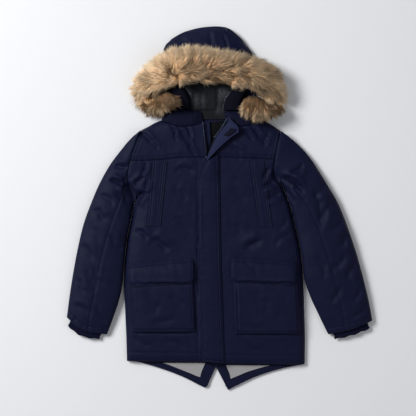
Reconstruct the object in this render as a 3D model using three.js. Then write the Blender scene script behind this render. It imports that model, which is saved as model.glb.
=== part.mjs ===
// A child's padded hooded parka laid flat on its back, front side up.
// Millimetres, +X to the wearer's left, +Y to the hood, +Z up from the surface it lies on.
// Every piece that is cut and sewn on is one closed wall, worked out from the seam tables below.
import * as THREE from "three";

// ---- driving sizes ----------------------------------------------------------------------
const SEAM_GAP = 0.3; // clearance between two pieces at a seam
const LAY_GAP = 0.6; // clearance between a piece and what it lies on
const POCKET_GAP = 0.95; // under a piece that is wide enough to bend with the front
const SIDE_SEAM_Z = 8; // height of the side seams above the surface
const MIDDLE_Z = 13; // height of the plane between back and fronts, away from the sides
const RIM = 1.25; // thickness of a padded panel at its sewn edge
const SIDE_ROUND = 60; // reach of the rounding of the fronts towards a side
const SHOULDER_ROUND = 34;
const BACK_ROUND = 18; // reach of the rounding of the back towards a side
const HEM_ROUND = 14;
const NECK_Y = 243; // where the hood joins the back

const SLEEVE_WALL = 9; // padding at the folded edges of a sleeve
const SLEEVE_BLEND = 0.22; // part of the sleeve that takes over from the body's thickness
const ARMHOLE_REACH = 0.4; // part of the sleeve that follows the armhole's curve
const UNDERARM_REACH = 0.05;
const SLEEVE_RING = 16; // steps round a sleeve
const FRONT_SEAM_STEP = 5; // step of the ring with the sleeve's front seam
const BACK_SEAM_STEP = 12; // step of the ring with the sleeve's back seam
const BODY_CLEARANCE = 1.4; // between a sleeve and the side of the body
const UNDERARM_CLEARANCE = 6; // the same where the cloth bunches below the underarm

const RIB_REACH = 17; // length of knitted cuff that shows
const RIB_HEIGHT = 11;
const RIB_WALL = 3;
const RIB_INSET = 13; // the cuff is narrower than the sleeve end by this at each edge
const RIB_TUCK = 18; // length of the cuff inside the sleeve

const ZIP_SLIDER = { x: -35, y: 112, width: 8, length: 12, height: 3.6 };
const ZIP_WIDTH = 6; // closed teeth with a little tape on each side
const ZIP_THICKNESS = 1.8;
const OPEN_ZIP_WIDTH = { right: 4.3, left: 8 }; // width of tape and teeth that shows
const OPEN_ZIP_FROM = 153; // the two halves of the zip are apart from here to the neck
const FLAP_ARCH = 3.2; // the storm flap stands up over the closed zip
const SLIDER_ARCH = 6; // and more over the slider
const TURNED_THICKNESS = 3;
const HOOK_TAPE_THICKNESS = 1.2;

const FLAP_THICKNESS = 4.5; // storm flap, pocket flaps
const FLAP_EDGE = 2.2; // their thickness at the edge
const BAG_DEPTH = 9; // how far a cargo pocket stands off the front
const WELT_THICKNESS = 2;
const FACING_THICKNESS = 1.2;
const TAIL_THICKNESS = 6.5;
const TAIL_COVER = 25; // the back keeps the tail's thickness this far under the fronts
const FLEECE_THICKNESS = 3;

const HOOD_BACK_TOP = 10.5;
const HOOD_TOP = 34;
const HOOD_ROUND = 45;
const HOOD_MOUTH_LIFT = 9; // height of the hood's hollow at its edge
const COLLAR_BOTTOM = 14.7;
const COLLAR_TOP = 33;
const HOOD_EDGE_TOP = 30;
const FUR_LENGTH = 36; // pile of the fur above its base
const FUR_EDGE = 7; // pile at the rim of the fur

// ---- colours ----------------------------------------------------------------------------
const cloth = (color, roughness = 0.85) =>
  new THREE.MeshStandardMaterial({ color, roughness, metalness: 0 });
const NAVY = cloth(0x1e2540);
const NAVY_INSIDE = cloth(0x242c4a);
const NAVY_RIB = cloth(0x15192c, 0.95);
const FLEECE = cloth(0x3d4045, 1);
const NECK_LINING = cloth(0x14151a, 0.9);
const TAIL_LINING = cloth(0x9a9899, 0.7);
const FUR = cloth(0xc8a57a, 1);
const ZIP_TAPE = cloth(0x191d2c, 0.9);
const HOOK_TAPE = cloth(0x23273a, 1);
const SLIDER = new THREE.MeshStandardMaterial({ color: 0x3a3d46, roughness: 0.4, metalness: 0.8 });

// ---- seam tables ------------------------------------------------------------------------
// Armholes from the shoulder point to the underarm. The fourth row is the end of the yoke seam.
const armholeRight = [
  { x: -216, y: 216 },
  { x: -228, y: 187 },
  { x: -238, y: 160 },
  { x: -246, y: 133 },
  { x: -251, y: 113 },
  { x: -254, y: 94 },
  { x: -252, y: 73 },
  { x: -243, y: 51 },
  { x: -230, y: 31 },
];
const armholeLeft = [
  { x: 169, y: 213 },
  { x: 163, y: 187 },
  { x: 157, y: 160 },
  { x: 152, y: 134 },
  { x: 149, y: 117 },
  { x: 148, y: 101 },
  { x: 150, y: 89 },
  { x: 156, y: 79 },
  { x: 169, y: 69 },
];
const YOKE_ROW = 3;
// Side seams from the underarm to the hem.
const sideRight = [
  { x: -230, y: 31 },
  { x: -236, y: 4 },
  { x: -243, y: -30 },
  { x: -252, y: -68 },
  { x: -258, y: -112 },
  { x: -263, y: -160 },
  { x: -264, y: -215 },
  { x: -261, y: -285 },
  { x: -258, y: -355 },
  { x: -256, y: -422 },
];
const sideLeft = [
  { x: 169, y: 69 },
  { x: 181, y: 42 },
  { x: 194, y: 8 },
  { x: 206, y: -38 },
  { x: 218, y: -90 },
  { x: 226, y: -140 },
  { x: 231, y: -200 },
  { x: 234, y: -280 },
  { x: 236, y: -358 },
  { x: 235, y: -431 },
];
// The two folded edges of each sleeve, from the body to the end of the sleeve.
const sleeveRight = [
  { outerX: -216, outerY: 216, innerX: -230, innerY: 31 },
  { outerX: -246, outerY: 191, innerX: -236, innerY: 4 },
  { outerX: -275, outerY: 157, innerX: -243, innerY: -30 },
  { outerX: -303, outerY: 119, innerX: -252, innerY: -68 },
  { outerX: -330, outerY: 71, innerX: -258, innerY: -112 },
  { outerX: -353, outerY: 18, innerX: -263, innerY: -160 },
  { outerX: -376, outerY: -46, innerX: -267, innerY: -211 },
  { outerX: -395, outerY: -128, innerX: -277, innerY: -257 },
  { outerX: -411, outerY: -220, innerX: -293, innerY: -302 },
  { outerX: -422, outerY: -301, innerX: -311, innerY: -348 },
];
const sleeveLeft = [
  { outerX: 169, outerY: 213, innerX: 169, innerY: 69 },
  { outerX: 195, outerY: 194, innerX: 181, innerY: 42 },
  { outerX: 222, outerY: 170, innerX: 194, innerY: 8 },
  { outerX: 256, outerY: 130, innerX: 206, innerY: -38 },
  { outerX: 299, outerY: 62, innerX: 218, innerY: -90 },
  { outerX: 330, outerY: 7, innerX: 226, innerY: -140 },
  { outerX: 363, outerY: -79, innerX: 233, innerY: -196 },
  { outerX: 389, outerY: -164, innerX: 250, innerY: -246 },
  { outerX: 410, outerY: -248, innerX: 275, innerY: -298 },
  { outerX: 422, outerY: -310, innerX: 300, innerY: -348 },
];
const sleeveEndRight = [
  { x: -422, y: -301 },
  { x: -376, y: -336 },
  { x: -311, y: -348 },
];
const sleeveEndLeft = [
  { x: 422, y: -310 },
  { x: 362, y: -334 },
  { x: 300, y: -348 },
];
// Along a sleeve: its height, and how far across the front seam lies.
const sleeveShape = [
  { along: 0, height: 34, seam: 0.69 },
  { along: 0.2, height: 38, seam: 0.62 },
  { along: 0.45, height: 41, seam: 0.54 },
  { along: 0.7, height: 39, seam: 0.5 },
  { along: 0.9, height: 33, seam: 0.55 },
  { along: 1, height: 27, seam: 0.62 },
];
const bodyHeight = [
  { y: -502, height: 24 },
  { y: -431, height: 25 },
  { y: -380, height: 28 },
  { y: -250, height: 31 },
  { y: 0, height: 34 },
  { y: 140, height: 33 },
  { y: 243, height: 29 },
];
// Shoulder and neck, from the shoulder point to the zip.
const neckRight = [
  { x: -216, y: 216 },
  { x: -189, y: 230 },
  { x: -161, y: 243 },
  { x: -132, y: 231 },
  { x: -92, y: 227 },
  { x: -47, y: 235 },
];
const neckLeft = [
  { x: 169, y: 213 },
  { x: 144, y: 230 },
  { x: 117, y: 243 },
  { x: 86, y: 232 },
  { x: 50, y: 228 },
  { x: 15, y: 243 },
];
const yokeSeamRight = [
  { x: -246, y: 133 },
  { x: -205, y: 132 },
  { x: -144, y: 136 },
  { x: -95, y: 141 },
  { x: -37, y: 140 },
];
const yokeSeamLeft = [
  { x: 152, y: 134 },
  { x: 122, y: 137 },
  { x: 81, y: 139 },
  { x: 20, y: 141 },
  { x: -35, y: 140 },
];
// The zip, from the hem to the neck: the edges of the two fronts.
const zipRight = [
  { x: -23, y: -424 },
  { x: -28, y: -200 },
  { x: -34, y: 0 },
  { x: -37, y: 140 },
  { x: -42, y: 180 },
  { x: -46, y: 210 },
  { x: -47, y: 235 },
];
const zipLeft = [
  { x: -21, y: -427 },
  { x: -26, y: -200 },
  { x: -32, y: 0 },
  { x: -35, y: 140 },
  { x: -20, y: 185 },
  { x: -2, y: 214 },
  { x: 15, y: 243 },
];
const hemRight = [
  { x: -256, y: -422 },
  { x: -190, y: -422 },
  { x: -110, y: -423 },
  { x: -23, y: -424 },
];
const hemLeft = [
  { x: 235, y: -431 },
  { x: 170, y: -430 },
  { x: 80, y: -430 },
  { x: -21, y: -427 },
];
// The back's fishtail: from the side to a point, and up the vent to its apex.
const VENT = { x: -10, y: -438 };
const tailRight = [
  { x: -256, y: -420 },
  { x: -226, y: -423 },
  { x: -186, y: -434 },
  { x: -136, y: -450 },
  { x: -84, y: -474 },
  { x: -37, y: -498 },
];
const tailLeft = [
  { x: 235, y: -429 },
  { x: 214, y: -433 },
  { x: 180, y: -440 },
  { x: 134, y: -452 },
  { x: 80, y: -474 },
  { x: 23, y: -502 },
];
const ventRight = [
  { x: VENT.x, y: NECK_Y },
  { x: VENT.x, y: VENT.y },
  { x: -37, y: -498 },
];
const ventLeft = [
  { x: VENT.x, y: NECK_Y },
  { x: VENT.x, y: VENT.y },
  { x: 23, y: -502 },
];
// Facing round the tail: its outer edge beside the tail's edge, its inner edge beside the lining.
const facingRight = [
  { outerX: -215, outerY: -427, innerX: -160, innerY: -427 },
  { outerX: -180, outerY: -435, innerX: -150, innerY: -430 },
  { outerX: -136, outerY: -449, innerX: -112, innerY: -446 },
  { outerX: -86, outerY: -472, innerX: -80, innerY: -460 },
  { outerX: -40, outerY: -495, innerX: -56, innerY: -470 },
  { outerX: -30, outerY: -477, innerX: -49, innerY: -453 },
  { outerX: -17, outerY: -448, innerX: -42, innerY: -438 },
  { outerX: -13, outerY: -439, innerX: -37, innerY: -427 },
];
const facingLeft = [
  { outerX: 195, outerY: -436, innerX: 142, innerY: -434 },
  { outerX: 176, outerY: -440, innerX: 132, innerY: -436 },
  { outerX: 134, outerY: -451, innerX: 108, innerY: -443 },
  { outerX: 84, outerY: -471, innerX: 74, innerY: -455 },
  { outerX: 26, outerY: -498, innerX: 33, innerY: -473 },
  { outerX: 13, outerY: -479, innerX: 27, innerY: -461 },
  { outerX: -1, outerY: -453, innerX: 20, innerY: -445 },
  { outerX: -5, outerY: -440, innerX: 15, innerY: -433 },
];
// Storm flap from the hem up: its free edge and the edge that is sewn to the left front.
const stormFlap = [
  { freeX: -48, freeY: -421, sewnX: 15, sewnY: -427 },
  { freeX: -51, freeY: -330, sewnX: 11, sewnY: -330 },
  { freeX: -54, freeY: -220, sewnX: 7, sewnY: -220 },
  { freeX: -58, freeY: -110, sewnX: 4, sewnY: -110 },
  { freeX: -60, freeY: 0, sewnX: 2, sewnY: 0 },
  { freeX: -57, freeY: 80, sewnX: 1, sewnY: 80 },
  { freeX: -48, freeY: 108, sewnX: 0, sewnY: 118 },
  { freeX: -39, freeY: 126, sewnX: -1, sewnY: 150 },
];
// The top of the storm flap, turned out: fold beside the zip, free edge over the left front.
const turnedFlap = [
  { foldX: -37, foldY: 130, freeX: -33, freeY: 133, lift: 6 },
  { foldX: -30, foldY: 150, freeX: -11, freeY: 157, lift: 9 },
  { foldX: -18, foldY: 177, freeX: 11, freeY: 178, lift: 12 },
  { foldX: -4, foldY: 203, freeX: 32, freeY: 196, lift: 14 },
  { foldX: 9, foldY: 221, freeX: 55, freeY: 213, lift: 15 },
  { foldX: 21, foldY: 233, freeX: 41, freeY: 232, lift: 15 },
  { foldX: 24, foldY: 252, freeX: 27, freeY: 249, lift: 14 },
];
const hookTape = { fromU: 0.5, toU: 0.69, fromV: 0.42, toV: 0.78 };
// Pockets by their corners, going round from the upper corner nearest the side.
const chestWeltRight = [
  { x: -186, y: 129 },
  { x: -145, y: 131 },
  { x: -163, y: -50 },
  { x: -202, y: -49 },
];
const chestWeltLeft = [
  { x: 120, y: 131 },
  { x: 81, y: 132 },
  { x: 106, y: -49 },
  { x: 144, y: -51 },
];
const pocketBagRight = [
  { x: -250, y: -172 },
  { x: -74, y: -170 },
  { x: -66, y: -340 },
  { x: -240, y: -341 },
];
const pocketBagLeft = [
  { x: 217, y: -170 },
  { x: 36, y: -168 },
  { x: 42, y: -346 },
  { x: 224, y: -347 },
];
const pocketFlapRight = [
  { x: -254, y: -153 },
  { x: -74, y: -136 },
  { x: -72, y: -205 },
  { x: -250, y: -216 },
];
const pocketFlapLeft = [
  { x: 211, y: -145 },
  { x: 32, y: -134 },
  { x: 30, y: -201 },
  { x: 210, y: -211 },
];
// Hood outline from its right side over the crown to its left side.
const hoodOutline = [
  { x: -150, y: NECK_Y + SEAM_GAP },
  { x: -156, y: 320 },
  { x: -158, y: 385 },
  { x: -154, y: 440 },
  { x: -134, y: 466 },
  { x: -87, y: 491 },
  { x: -30, y: 502 },
  { x: 18, y: 500 },
  { x: 56, y: 471 },
  { x: 84, y: 438 },
  { x: 96, y: 405 },
  { x: 100, y: 330 },
  { x: 104, y: NECK_Y + SEAM_GAP },
];
// The front layer of the hood: its edge at the face opening, and the crown above it.
const hoodFront = [
  { edgeX: -156, edgeY: 396, crownX: -155, crownY: 437 },
  { edgeX: -134, edgeY: 362, crownX: -138, crownY: 463 },
  { edgeX: -104, edgeY: 352, crownX: -113, crownY: 479 },
  { edgeX: -74, edgeY: 350, crownX: -87, crownY: 491 },
  { edgeX: -42, edgeY: 349, crownX: -50, crownY: 499 },
  { edgeX: -12, edgeY: 348, crownX: -14, crownY: 502 },
  { edgeX: 16, edgeY: 347, crownX: 18, crownY: 500 },
  { edgeX: 44, edgeY: 349, crownX: 42, crownY: 484 },
  { edgeX: 72, edgeY: 356, crownX: 66, crownY: 461 },
  { edgeX: 96, edgeY: 388, crownX: 91, crownY: 424 },
];
const HOOD_SEAM_RIGHT = 3 / 9; // seams between the side panels and the centre panel
const HOOD_SEAM_LEFT = 6 / 9;
// Fleece inside the hood and the collar, from the neck upwards.
const hoodLining = [
  { rightX: -84, rightY: 246, leftX: 40, leftY: 246 },
  { rightX: -88, rightY: 272, leftX: 42, leftY: 272 },
  { rightX: -96, rightY: 300, leftX: 50, leftY: 300 },
  { rightX: -112, rightY: 326, leftX: 62, leftY: 326 },
  { rightX: -118, rightY: 356, leftX: 68, leftY: 356 },
];
// Band of shell cloth beside the face opening, on both sides.
const hoodEdgeRight = [
  { outerX: -118, outerY: 281, innerX: -79, innerY: 272 },
  { outerX: -124, outerY: 292, innerX: -80, innerY: 290 },
  { outerX: -130, outerY: 304, innerX: -83, innerY: 307 },
  { outerX: -134, outerY: 316, innerX: -98, innerY: 332 },
  { outerX: -136, outerY: 326, innerX: -108, innerY: 341 },
];
const hoodEdgeLeft = [
  { outerX: 60, outerY: 272, innerX: 12, innerY: 270 },
  { outerX: 60, outerY: 285, innerX: 12, innerY: 285 },
  { outerX: 66, outerY: 302, innerX: 18, innerY: 303 },
  { outerX: 74, outerY: 316, innerX: 30, innerY: 318 },
  { outerX: 82, outerY: 328, innerX: 52, innerY: 334 },
];
// Upper edges of the collar halves, from the outside to the zip.
const collarTopRight = [
  { x: -149, y: 265 },
  { x: -122, y: 276 },
  { x: -98, y: 274 },
  { x: -76, y: 269 },
  { x: -51, y: 268 },
];
const collarTopLeft = [
  { x: 98, y: 254 },
  { x: 74, y: 266 },
  { x: 46, y: 268 },
  { x: 28, y: 268 },
  { x: 12, y: 267 },
];
// Fur along the face opening, and its two ends beside the collar.
const furArch = [
  { outerX: -238, outerY: 314, innerX: -190, innerY: 302, base: 0 },
  { outerX: -238, outerY: 345, innerX: -182, innerY: 313, base: 0 },
  { outerX: -212, outerY: 380, innerX: -166, innerY: 325, base: 8 },
  { outerX: -172, outerY: 415, innerX: -136, innerY: 334, base: 34 },
  { outerX: -117, outerY: 440, innerX: -100, innerY: 338, base: 34.7 },
  { outerX: -62, outerY: 442, innerX: -54, innerY: 342, base: 34.7 },
  { outerX: -8, outerY: 434, innerX: -8, innerY: 340, base: 34.7 },
  { outerX: 46, outerY: 427, innerX: 38, innerY: 334, base: 34.7 },
  { outerX: 100, outerY: 411, innerX: 84, innerY: 327, base: 33 },
  { outerX: 142, outerY: 396, innerX: 117, innerY: 315, base: 20 },
  { outerX: 167, outerY: 364, innerX: 140, innerY: 306, base: 9 },
  { outerX: 179, outerY: 330, innerX: 152, innerY: 300, base: 1 },
  { outerX: 181, outerY: 300, innerX: 164, innerY: 294, base: 0 },
];
const furEndRight = [
  { outerX: -219, outerY: 289, innerX: -217, innerY: 306, base: 0 },
  { outerX: -203, outerY: 265, innerX: -192, innerY: 300, base: 0 },
  { outerX: -174, outerY: 257, innerX: -170, innerY: 318, base: 6 },
  { outerX: -142, outerY: 268, innerX: -143, innerY: 327, base: 30.8 },
  { outerX: -113, outerY: 283, innerX: -115, innerY: 308, base: 30.8 },
];
const furEndLeft = [
  { outerX: 60, outerY: 264, innerX: 60, innerY: 285, base: 33.8 },
  { outerX: 75, outerY: 249, innerX: 68, innerY: 307, base: 33.8 },
  { outerX: 98, outerY: 240, innerX: 88, innerY: 319, base: 33.8 },
  { outerX: 125, outerY: 245, innerX: 114, innerY: 308, base: 31 },
  { outerX: 151, outerY: 254, innerX: 140, innerY: 297, base: 16 },
  { outerX: 176, outerY: 268, innerX: 172, innerY: 288, base: 8 },
];
// Inner strip behind the zip on the right front, which keeps the wind out: its free edge.
const windFlapEdge = [
  { x: -33, y: 150 },
  { x: -25, y: 183 },
  { x: -26, y: 212 },
  { x: -28, y: 242 },
];

// ---- curves -----------------------------------------------------------------------------
const clamp = (t) => Math.min(1, Math.max(0, t));
const mix = (a, b, t) => a + (b - a) * t;
const smooth = (t) => clamp(t) ** 2 * (3 - 2 * clamp(t));
const bulge = (t) => Math.sqrt(1 - (1 - clamp(t)) ** 2);
const steps = (count, from = 0, to = 1) =>
  Array.from({ length: count + 1 }, (_, i) => mix(from, to, i / count));

// Smooth value of one column of a table at t from 0 to 1, with the rows evenly spaced.
function column(table, name, t) {
  const place = clamp(t) * (table.length - 1);
  const i = Math.min(Math.floor(place), table.length - 2);
  const f = place - i;
  const at = (k) => table[Math.min(Math.max(k, 0), table.length - 1)][name];
  const before = i > 0 ? at(i - 1) : 2 * at(0) - at(1);
  const after = i < table.length - 2 ? at(i + 2) : 2 * at(i + 1) - at(i);
  const rise = (at(i + 1) - before) / 2;
  const fall = (after - at(i)) / 2;
  const a = 2 * at(i) - 2 * at(i + 1) + rise + fall;
  const b = 3 * at(i + 1) - 3 * at(i) - 2 * rise - fall;
  return ((a * f + b) * f + rise) * f + at(i);
}

const curve = (table, xName = "x", yName = "y") => (t) =>
  new THREE.Vector2(column(table, xName, t), column(table, yName, t));

// Value of a column where another column, which only rises or only falls, has a given value.
function lookUp(table, key, value, name) {
  const rising = table[table.length - 1][key] > table[0][key];
  let i = 0;
  while (i < table.length - 2 && rising === value > table[i + 1][key]) i += 1;
  const f = clamp((value - table[i][key]) / (table[i + 1][key] - table[i][key]));
  return column(table, name, (i + f) / (table.length - 1));
}

// A straight-sided seam at a given y.
function polylineAt(table, y) {
  const i = y > table[1].y ? 0 : 1;
  const f = clamp((y - table[i].y) / (table[i + 1].y - table[i].y));
  return new THREE.Vector2(mix(table[i].x, table[i + 1].x, f), y);
}

// A seam followed by its height: t from 0 to 1 goes evenly from y0 to y1.
const byHeight = (table, y0, y1) => (t) => {
  const y = mix(y0, y1, t);
  return new THREE.Vector2(lookUp(table, "y", y, "x"), y);
};

// A patch of the plane between four edges that meet at its corners.
function patch(first, last, start, end) {
  return (u, v) => {
    const across = first(u).multiplyScalar(1 - v).addScaledVector(last(u), v);
    const along = start(v).multiplyScalar(1 - u).addScaledVector(end(v), u);
    const corners = first(0)
      .multiplyScalar((1 - u) * (1 - v))
      .addScaledVector(first(1), u * (1 - v))
      .addScaledVector(last(0), (1 - u) * v)
      .addScaledVector(last(1), u * v);
    return across.add(along).sub(corners);
  };
}

// A strip between two edges held in one table.
const strip = (table, a, b) => (u, v) =>
  curve(table, `${a}X`, `${a}Y`)(u).lerp(curve(table, `${b}X`, `${b}Y`)(u), v);

// A flat shape by its four corners.
const quad = (corners) => (u, v) => {
  const [a, b, c, d] = corners.map(({ x, y }) => new THREE.Vector2(x, y));
  return a.lerp(b, u).lerp(d.lerp(c, u), v);
};

// Steps with the first and the last drawn in, by half a seam gap each.
function drawnIn(values, length, gap = SEAM_GAP / 2) {
  const inner = [...values];
  inner[0] += gap / length;
  inner[inner.length - 1] -= gap / length;
  return inner;
}

// ---- heights of the body ----------------------------------------------------------------
const rightEdge = [...armholeRight, ...sideRight.slice(1)];
const leftEdge = [...armholeLeft, ...sideLeft.slice(1)];
const UNDERARM_FADE = 60;

function segmentDistance(x, y, a, b) {
  const length2 = (b.x - a.x) ** 2 + (b.y - a.y) ** 2;
  const along = clamp(((x - a.x) * (b.x - a.x) + (y - a.y) * (b.y - a.y)) / length2);
  return Math.hypot(x - mix(a.x, b.x, along), y - mix(a.y, b.y, along));
}

// 0 at a side seam or a shoulder seam, 1 well inside. There is no rounding at the armholes.
function inside(x, y, sideReach, shoulderReach) {
  const sides = [
    { distance: x - lookUp(rightEdge, "y", y, "x"), underarm: sideRight[0].y },
    { distance: lookUp(leftEdge, "y", y, "x") - x, underarm: sideLeft[0].y },
  ];
  const shoulders = [neckRight, neckLeft].map((neck) => segmentDistance(x, y, neck[0], neck[2]));
  const atSides = sides.map(({ distance, underarm }) =>
    mix(bulge(distance / sideReach), 1, smooth((y - underarm) / UNDERARM_FADE)));
  return Math.min(...atSides) * bulge(Math.min(...shoulders) / shoulderReach);
}

const middleZ = (x, y) => mix(SIDE_SEAM_Z, MIDDLE_Z, inside(x, y, SIDE_ROUND, SHOULDER_ROUND));
const hemY = (x) => (x < -22 ? lookUp(hemRight, "x", x, "y") : lookUp(hemLeft, "x", x, "y"));

function frontTop(x, y) {
  const rim = SIDE_SEAM_Z + LAY_GAP / 2 + RIM;
  const height = lookUp(bodyHeight, "y", y, "height");
  const top = mix(rim, height, inside(x, y, SIDE_ROUND, SHOULDER_ROUND));
  const atHem = bulge((y - hemY(x)) / HEM_ROUND);
  return mix(middleZ(x, y) + (top - middleZ(x, y)) * 0.55, top, atHem);
}

const frontBottom = (x, y) => middleZ(x, y) + LAY_GAP / 2;

// The back is as thick as the fronts' underside allows, and thinner on the tail below them.
function backTop(x, y) {
  const covered = smooth((y - hemY(x) - TAIL_COVER) / 50);
  return mix(TAIL_THICKNESS, middleZ(x, y) - LAY_GAP / 2, covered);
}

const backBottom = (x, y) =>
  (SIDE_SEAM_Z - LAY_GAP / 2 - RIM) * (1 - inside(x, y, BACK_ROUND, BACK_ROUND));

// ---- walls ------------------------------------------------------------------------------
// A closed wall between two grids of points, over the same steps in u and v.
function wall(name, material, us, vs, upper, lower) {
  const points = [];
  const rows = us.length;
  const columns = vs.length;
  for (const side of [upper, lower]) {
    for (const u of us) {
      for (const v of vs) points.push(side(u, v));
    }
  }
  const at = (side, i, j) => side * rows * columns + i * columns + j;
  const faces = [];
  // Each square is cut along its shorter diagonal.
  const addQuad = (a, b, c, d) => {
    const straight = points[a].distanceTo(points[c]) <= points[b].distanceTo(points[d]);
    faces.push(...(straight ? [[a, b, c], [a, c, d]] : [[a, b, d], [b, c, d]]));
  };
  for (let i = 0; i < rows - 1; i += 1) {
    for (let j = 0; j < columns - 1; j += 1) {
      addQuad(at(0, i, j), at(0, i + 1, j), at(0, i + 1, j + 1), at(0, i, j + 1));
      addQuad(at(1, i, j), at(1, i, j + 1), at(1, i + 1, j + 1), at(1, i + 1, j));
    }
  }
  for (let i = 0; i < rows - 1; i += 1) {
    addQuad(at(0, i, 0), at(1, i, 0), at(1, i + 1, 0), at(0, i + 1, 0));
    const j = columns - 1;
    addQuad(at(0, i + 1, j), at(1, i + 1, j), at(1, i, j), at(0, i, j));
  }
  for (let j = 0; j < columns - 1; j += 1) {
    addQuad(at(0, 0, j + 1), at(1, 0, j + 1), at(1, 0, j), at(0, 0, j));
    const i = rows - 1;
    addQuad(at(0, i, j), at(1, i, j), at(1, i, j + 1), at(0, i, j + 1));
  }
  return solid(name, material, points, faces);
}

// A mesh from points and triangles, with its faces turned outwards.
function solid(name, material, points, faces) {
  const volume = faces.reduce(
    (sum, [a, b, c]) => sum + points[a].dot(points[b].clone().cross(points[c])), 0);
  const geometry = new THREE.BufferGeometry();
  geometry.setAttribute("position", new THREE.BufferAttribute(
    new Float32Array(points.flatMap((p) => [p.x, p.y, p.z])), 3));
  geometry.setIndex(faces.flatMap((face) => (volume > 0 ? face : [...face].reverse())));
  geometry.computeVertexNormals();
  const mesh = new THREE.Mesh(geometry, material);
  mesh.name = name;
  return mesh;
}

// A panel of the plane between two heights.
function panel(name, material, us, vs, place, upper, lower) {
  const raise = (height) => (u, v) => {
    const { x, y } = place(u, v);
    return new THREE.Vector3(x, y, height(x, y, u, v));
  };
  return wall(name, material, us, vs, raise(upper), raise(lower));
}

// A piece that lies on the fronts: made from their points, moved out.
function laidOn(name, material, us, vs, place, thickness, lift = () => LAY_GAP) {
  return panel(name, material, us, vs, place,
    (x, y, u, v) => frontTop(x, y) + lift(u, v) + thickness(u, v),
    (x, y, u, v) => frontTop(x, y) + lift(u, v));
}

const EDGE_STEPS = [0, 0.012, 0.04, 0.08, 0.125, 0.175, 0.23, 0.3, 0.5, 0.75, 1];
const NECK_STEPS = [0.4, 0.5, 0.62, 0.75, 0.88, 1]; // from the neck point to the zip
const SHOULDER_STEPS = [0, 0.012, 0.04, 0.09, 0.17, 0.28];
const HEM_STEP = HEM_ROUND / 555; // share of the fronts' length that rounds down to the hem
const heightSteps = (table) =>
  table.map(({ y }) => (y - table[0].y) / (table[table.length - 1].y - table[0].y));

// ---- fronts, yokes and back -------------------------------------------------------------
function front(name, edge, yokeSeam, zip, hem) {
  const side = edge.slice(YOKE_ROW);
  const last = side.length - 1;
  const place = patch(curve(yokeSeam), curve(hem), byHeight(edge, side[0].y, side[last].y),
    byHeight(zip, yokeSeam[yokeSeam.length - 1].y, hem[hem.length - 1].y));
  const down = [...heightSteps(side).slice(0, last), 1 - HEM_STEP, 1];
  return panel(name, NAVY, drawnIn(EDGE_STEPS, 200), drawnIn(down, 550), place, frontTop, frontBottom);
}

function yoke(name, armhole, neck, yokeSeam, zip) {
  const atArmhole = byHeight(armhole, armhole[0].y, armhole[YOKE_ROW].y);
  const atZip = byHeight(zip, neck[neck.length - 1].y, yokeSeam[yokeSeam.length - 1].y);
  const place = patch(curve(neck), curve(yokeSeam), atArmhole, atZip);
  const down = heightSteps(armhole.slice(0, YOKE_ROW + 1));
  const fine = [0, 0.07, 0.18, ...down.slice(1)];
  const across = drawnIn([...SHOULDER_STEPS, ...NECK_STEPS], 180);
  return panel(name, NAVY, across, drawnIn(fine, 90), place, frontTop, frontBottom);
}

function backHalf(name, edge, neck, tail, centre) {
  const [shoulder, neckPoint] = [neck[0], neck[2]];
  const toNeck = NECK_STEPS[0];
  const shoulderAndNeck = (u) => {
    const rise = clamp(u / toNeck);
    const across = clamp((u - toNeck) / (1 - toNeck));
    return new THREE.Vector2(
      mix(shoulder.x, neckPoint.x, rise) + (VENT.x - neckPoint.x) * across, mix(shoulder.y, NECK_Y, rise));
  };
  const bottom = centre[centre.length - 1].y;
  const centreLine = (t) => polylineAt(centre, mix(NECK_Y, bottom, t));
  const atEdge = byHeight(edge, shoulder.y, edge[edge.length - 1].y);
  const place = patch(shoulderAndNeck, curve(tail), atEdge, centreLine);
  const vent = (NECK_Y - VENT.y) / (NECK_Y - bottom);
  const down = [...heightSteps(edge).slice(0, -2), 0.85, vent - 0.04, vent, mix(vent, 1, 0.5), 1];
  const across = [...SHOULDER_STEPS, toNeck, 0.7, 1];
  return panel(name, NAVY, drawnIn(across, 220), drawnIn(down, 700), place, backTop, backBottom);
}

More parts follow.
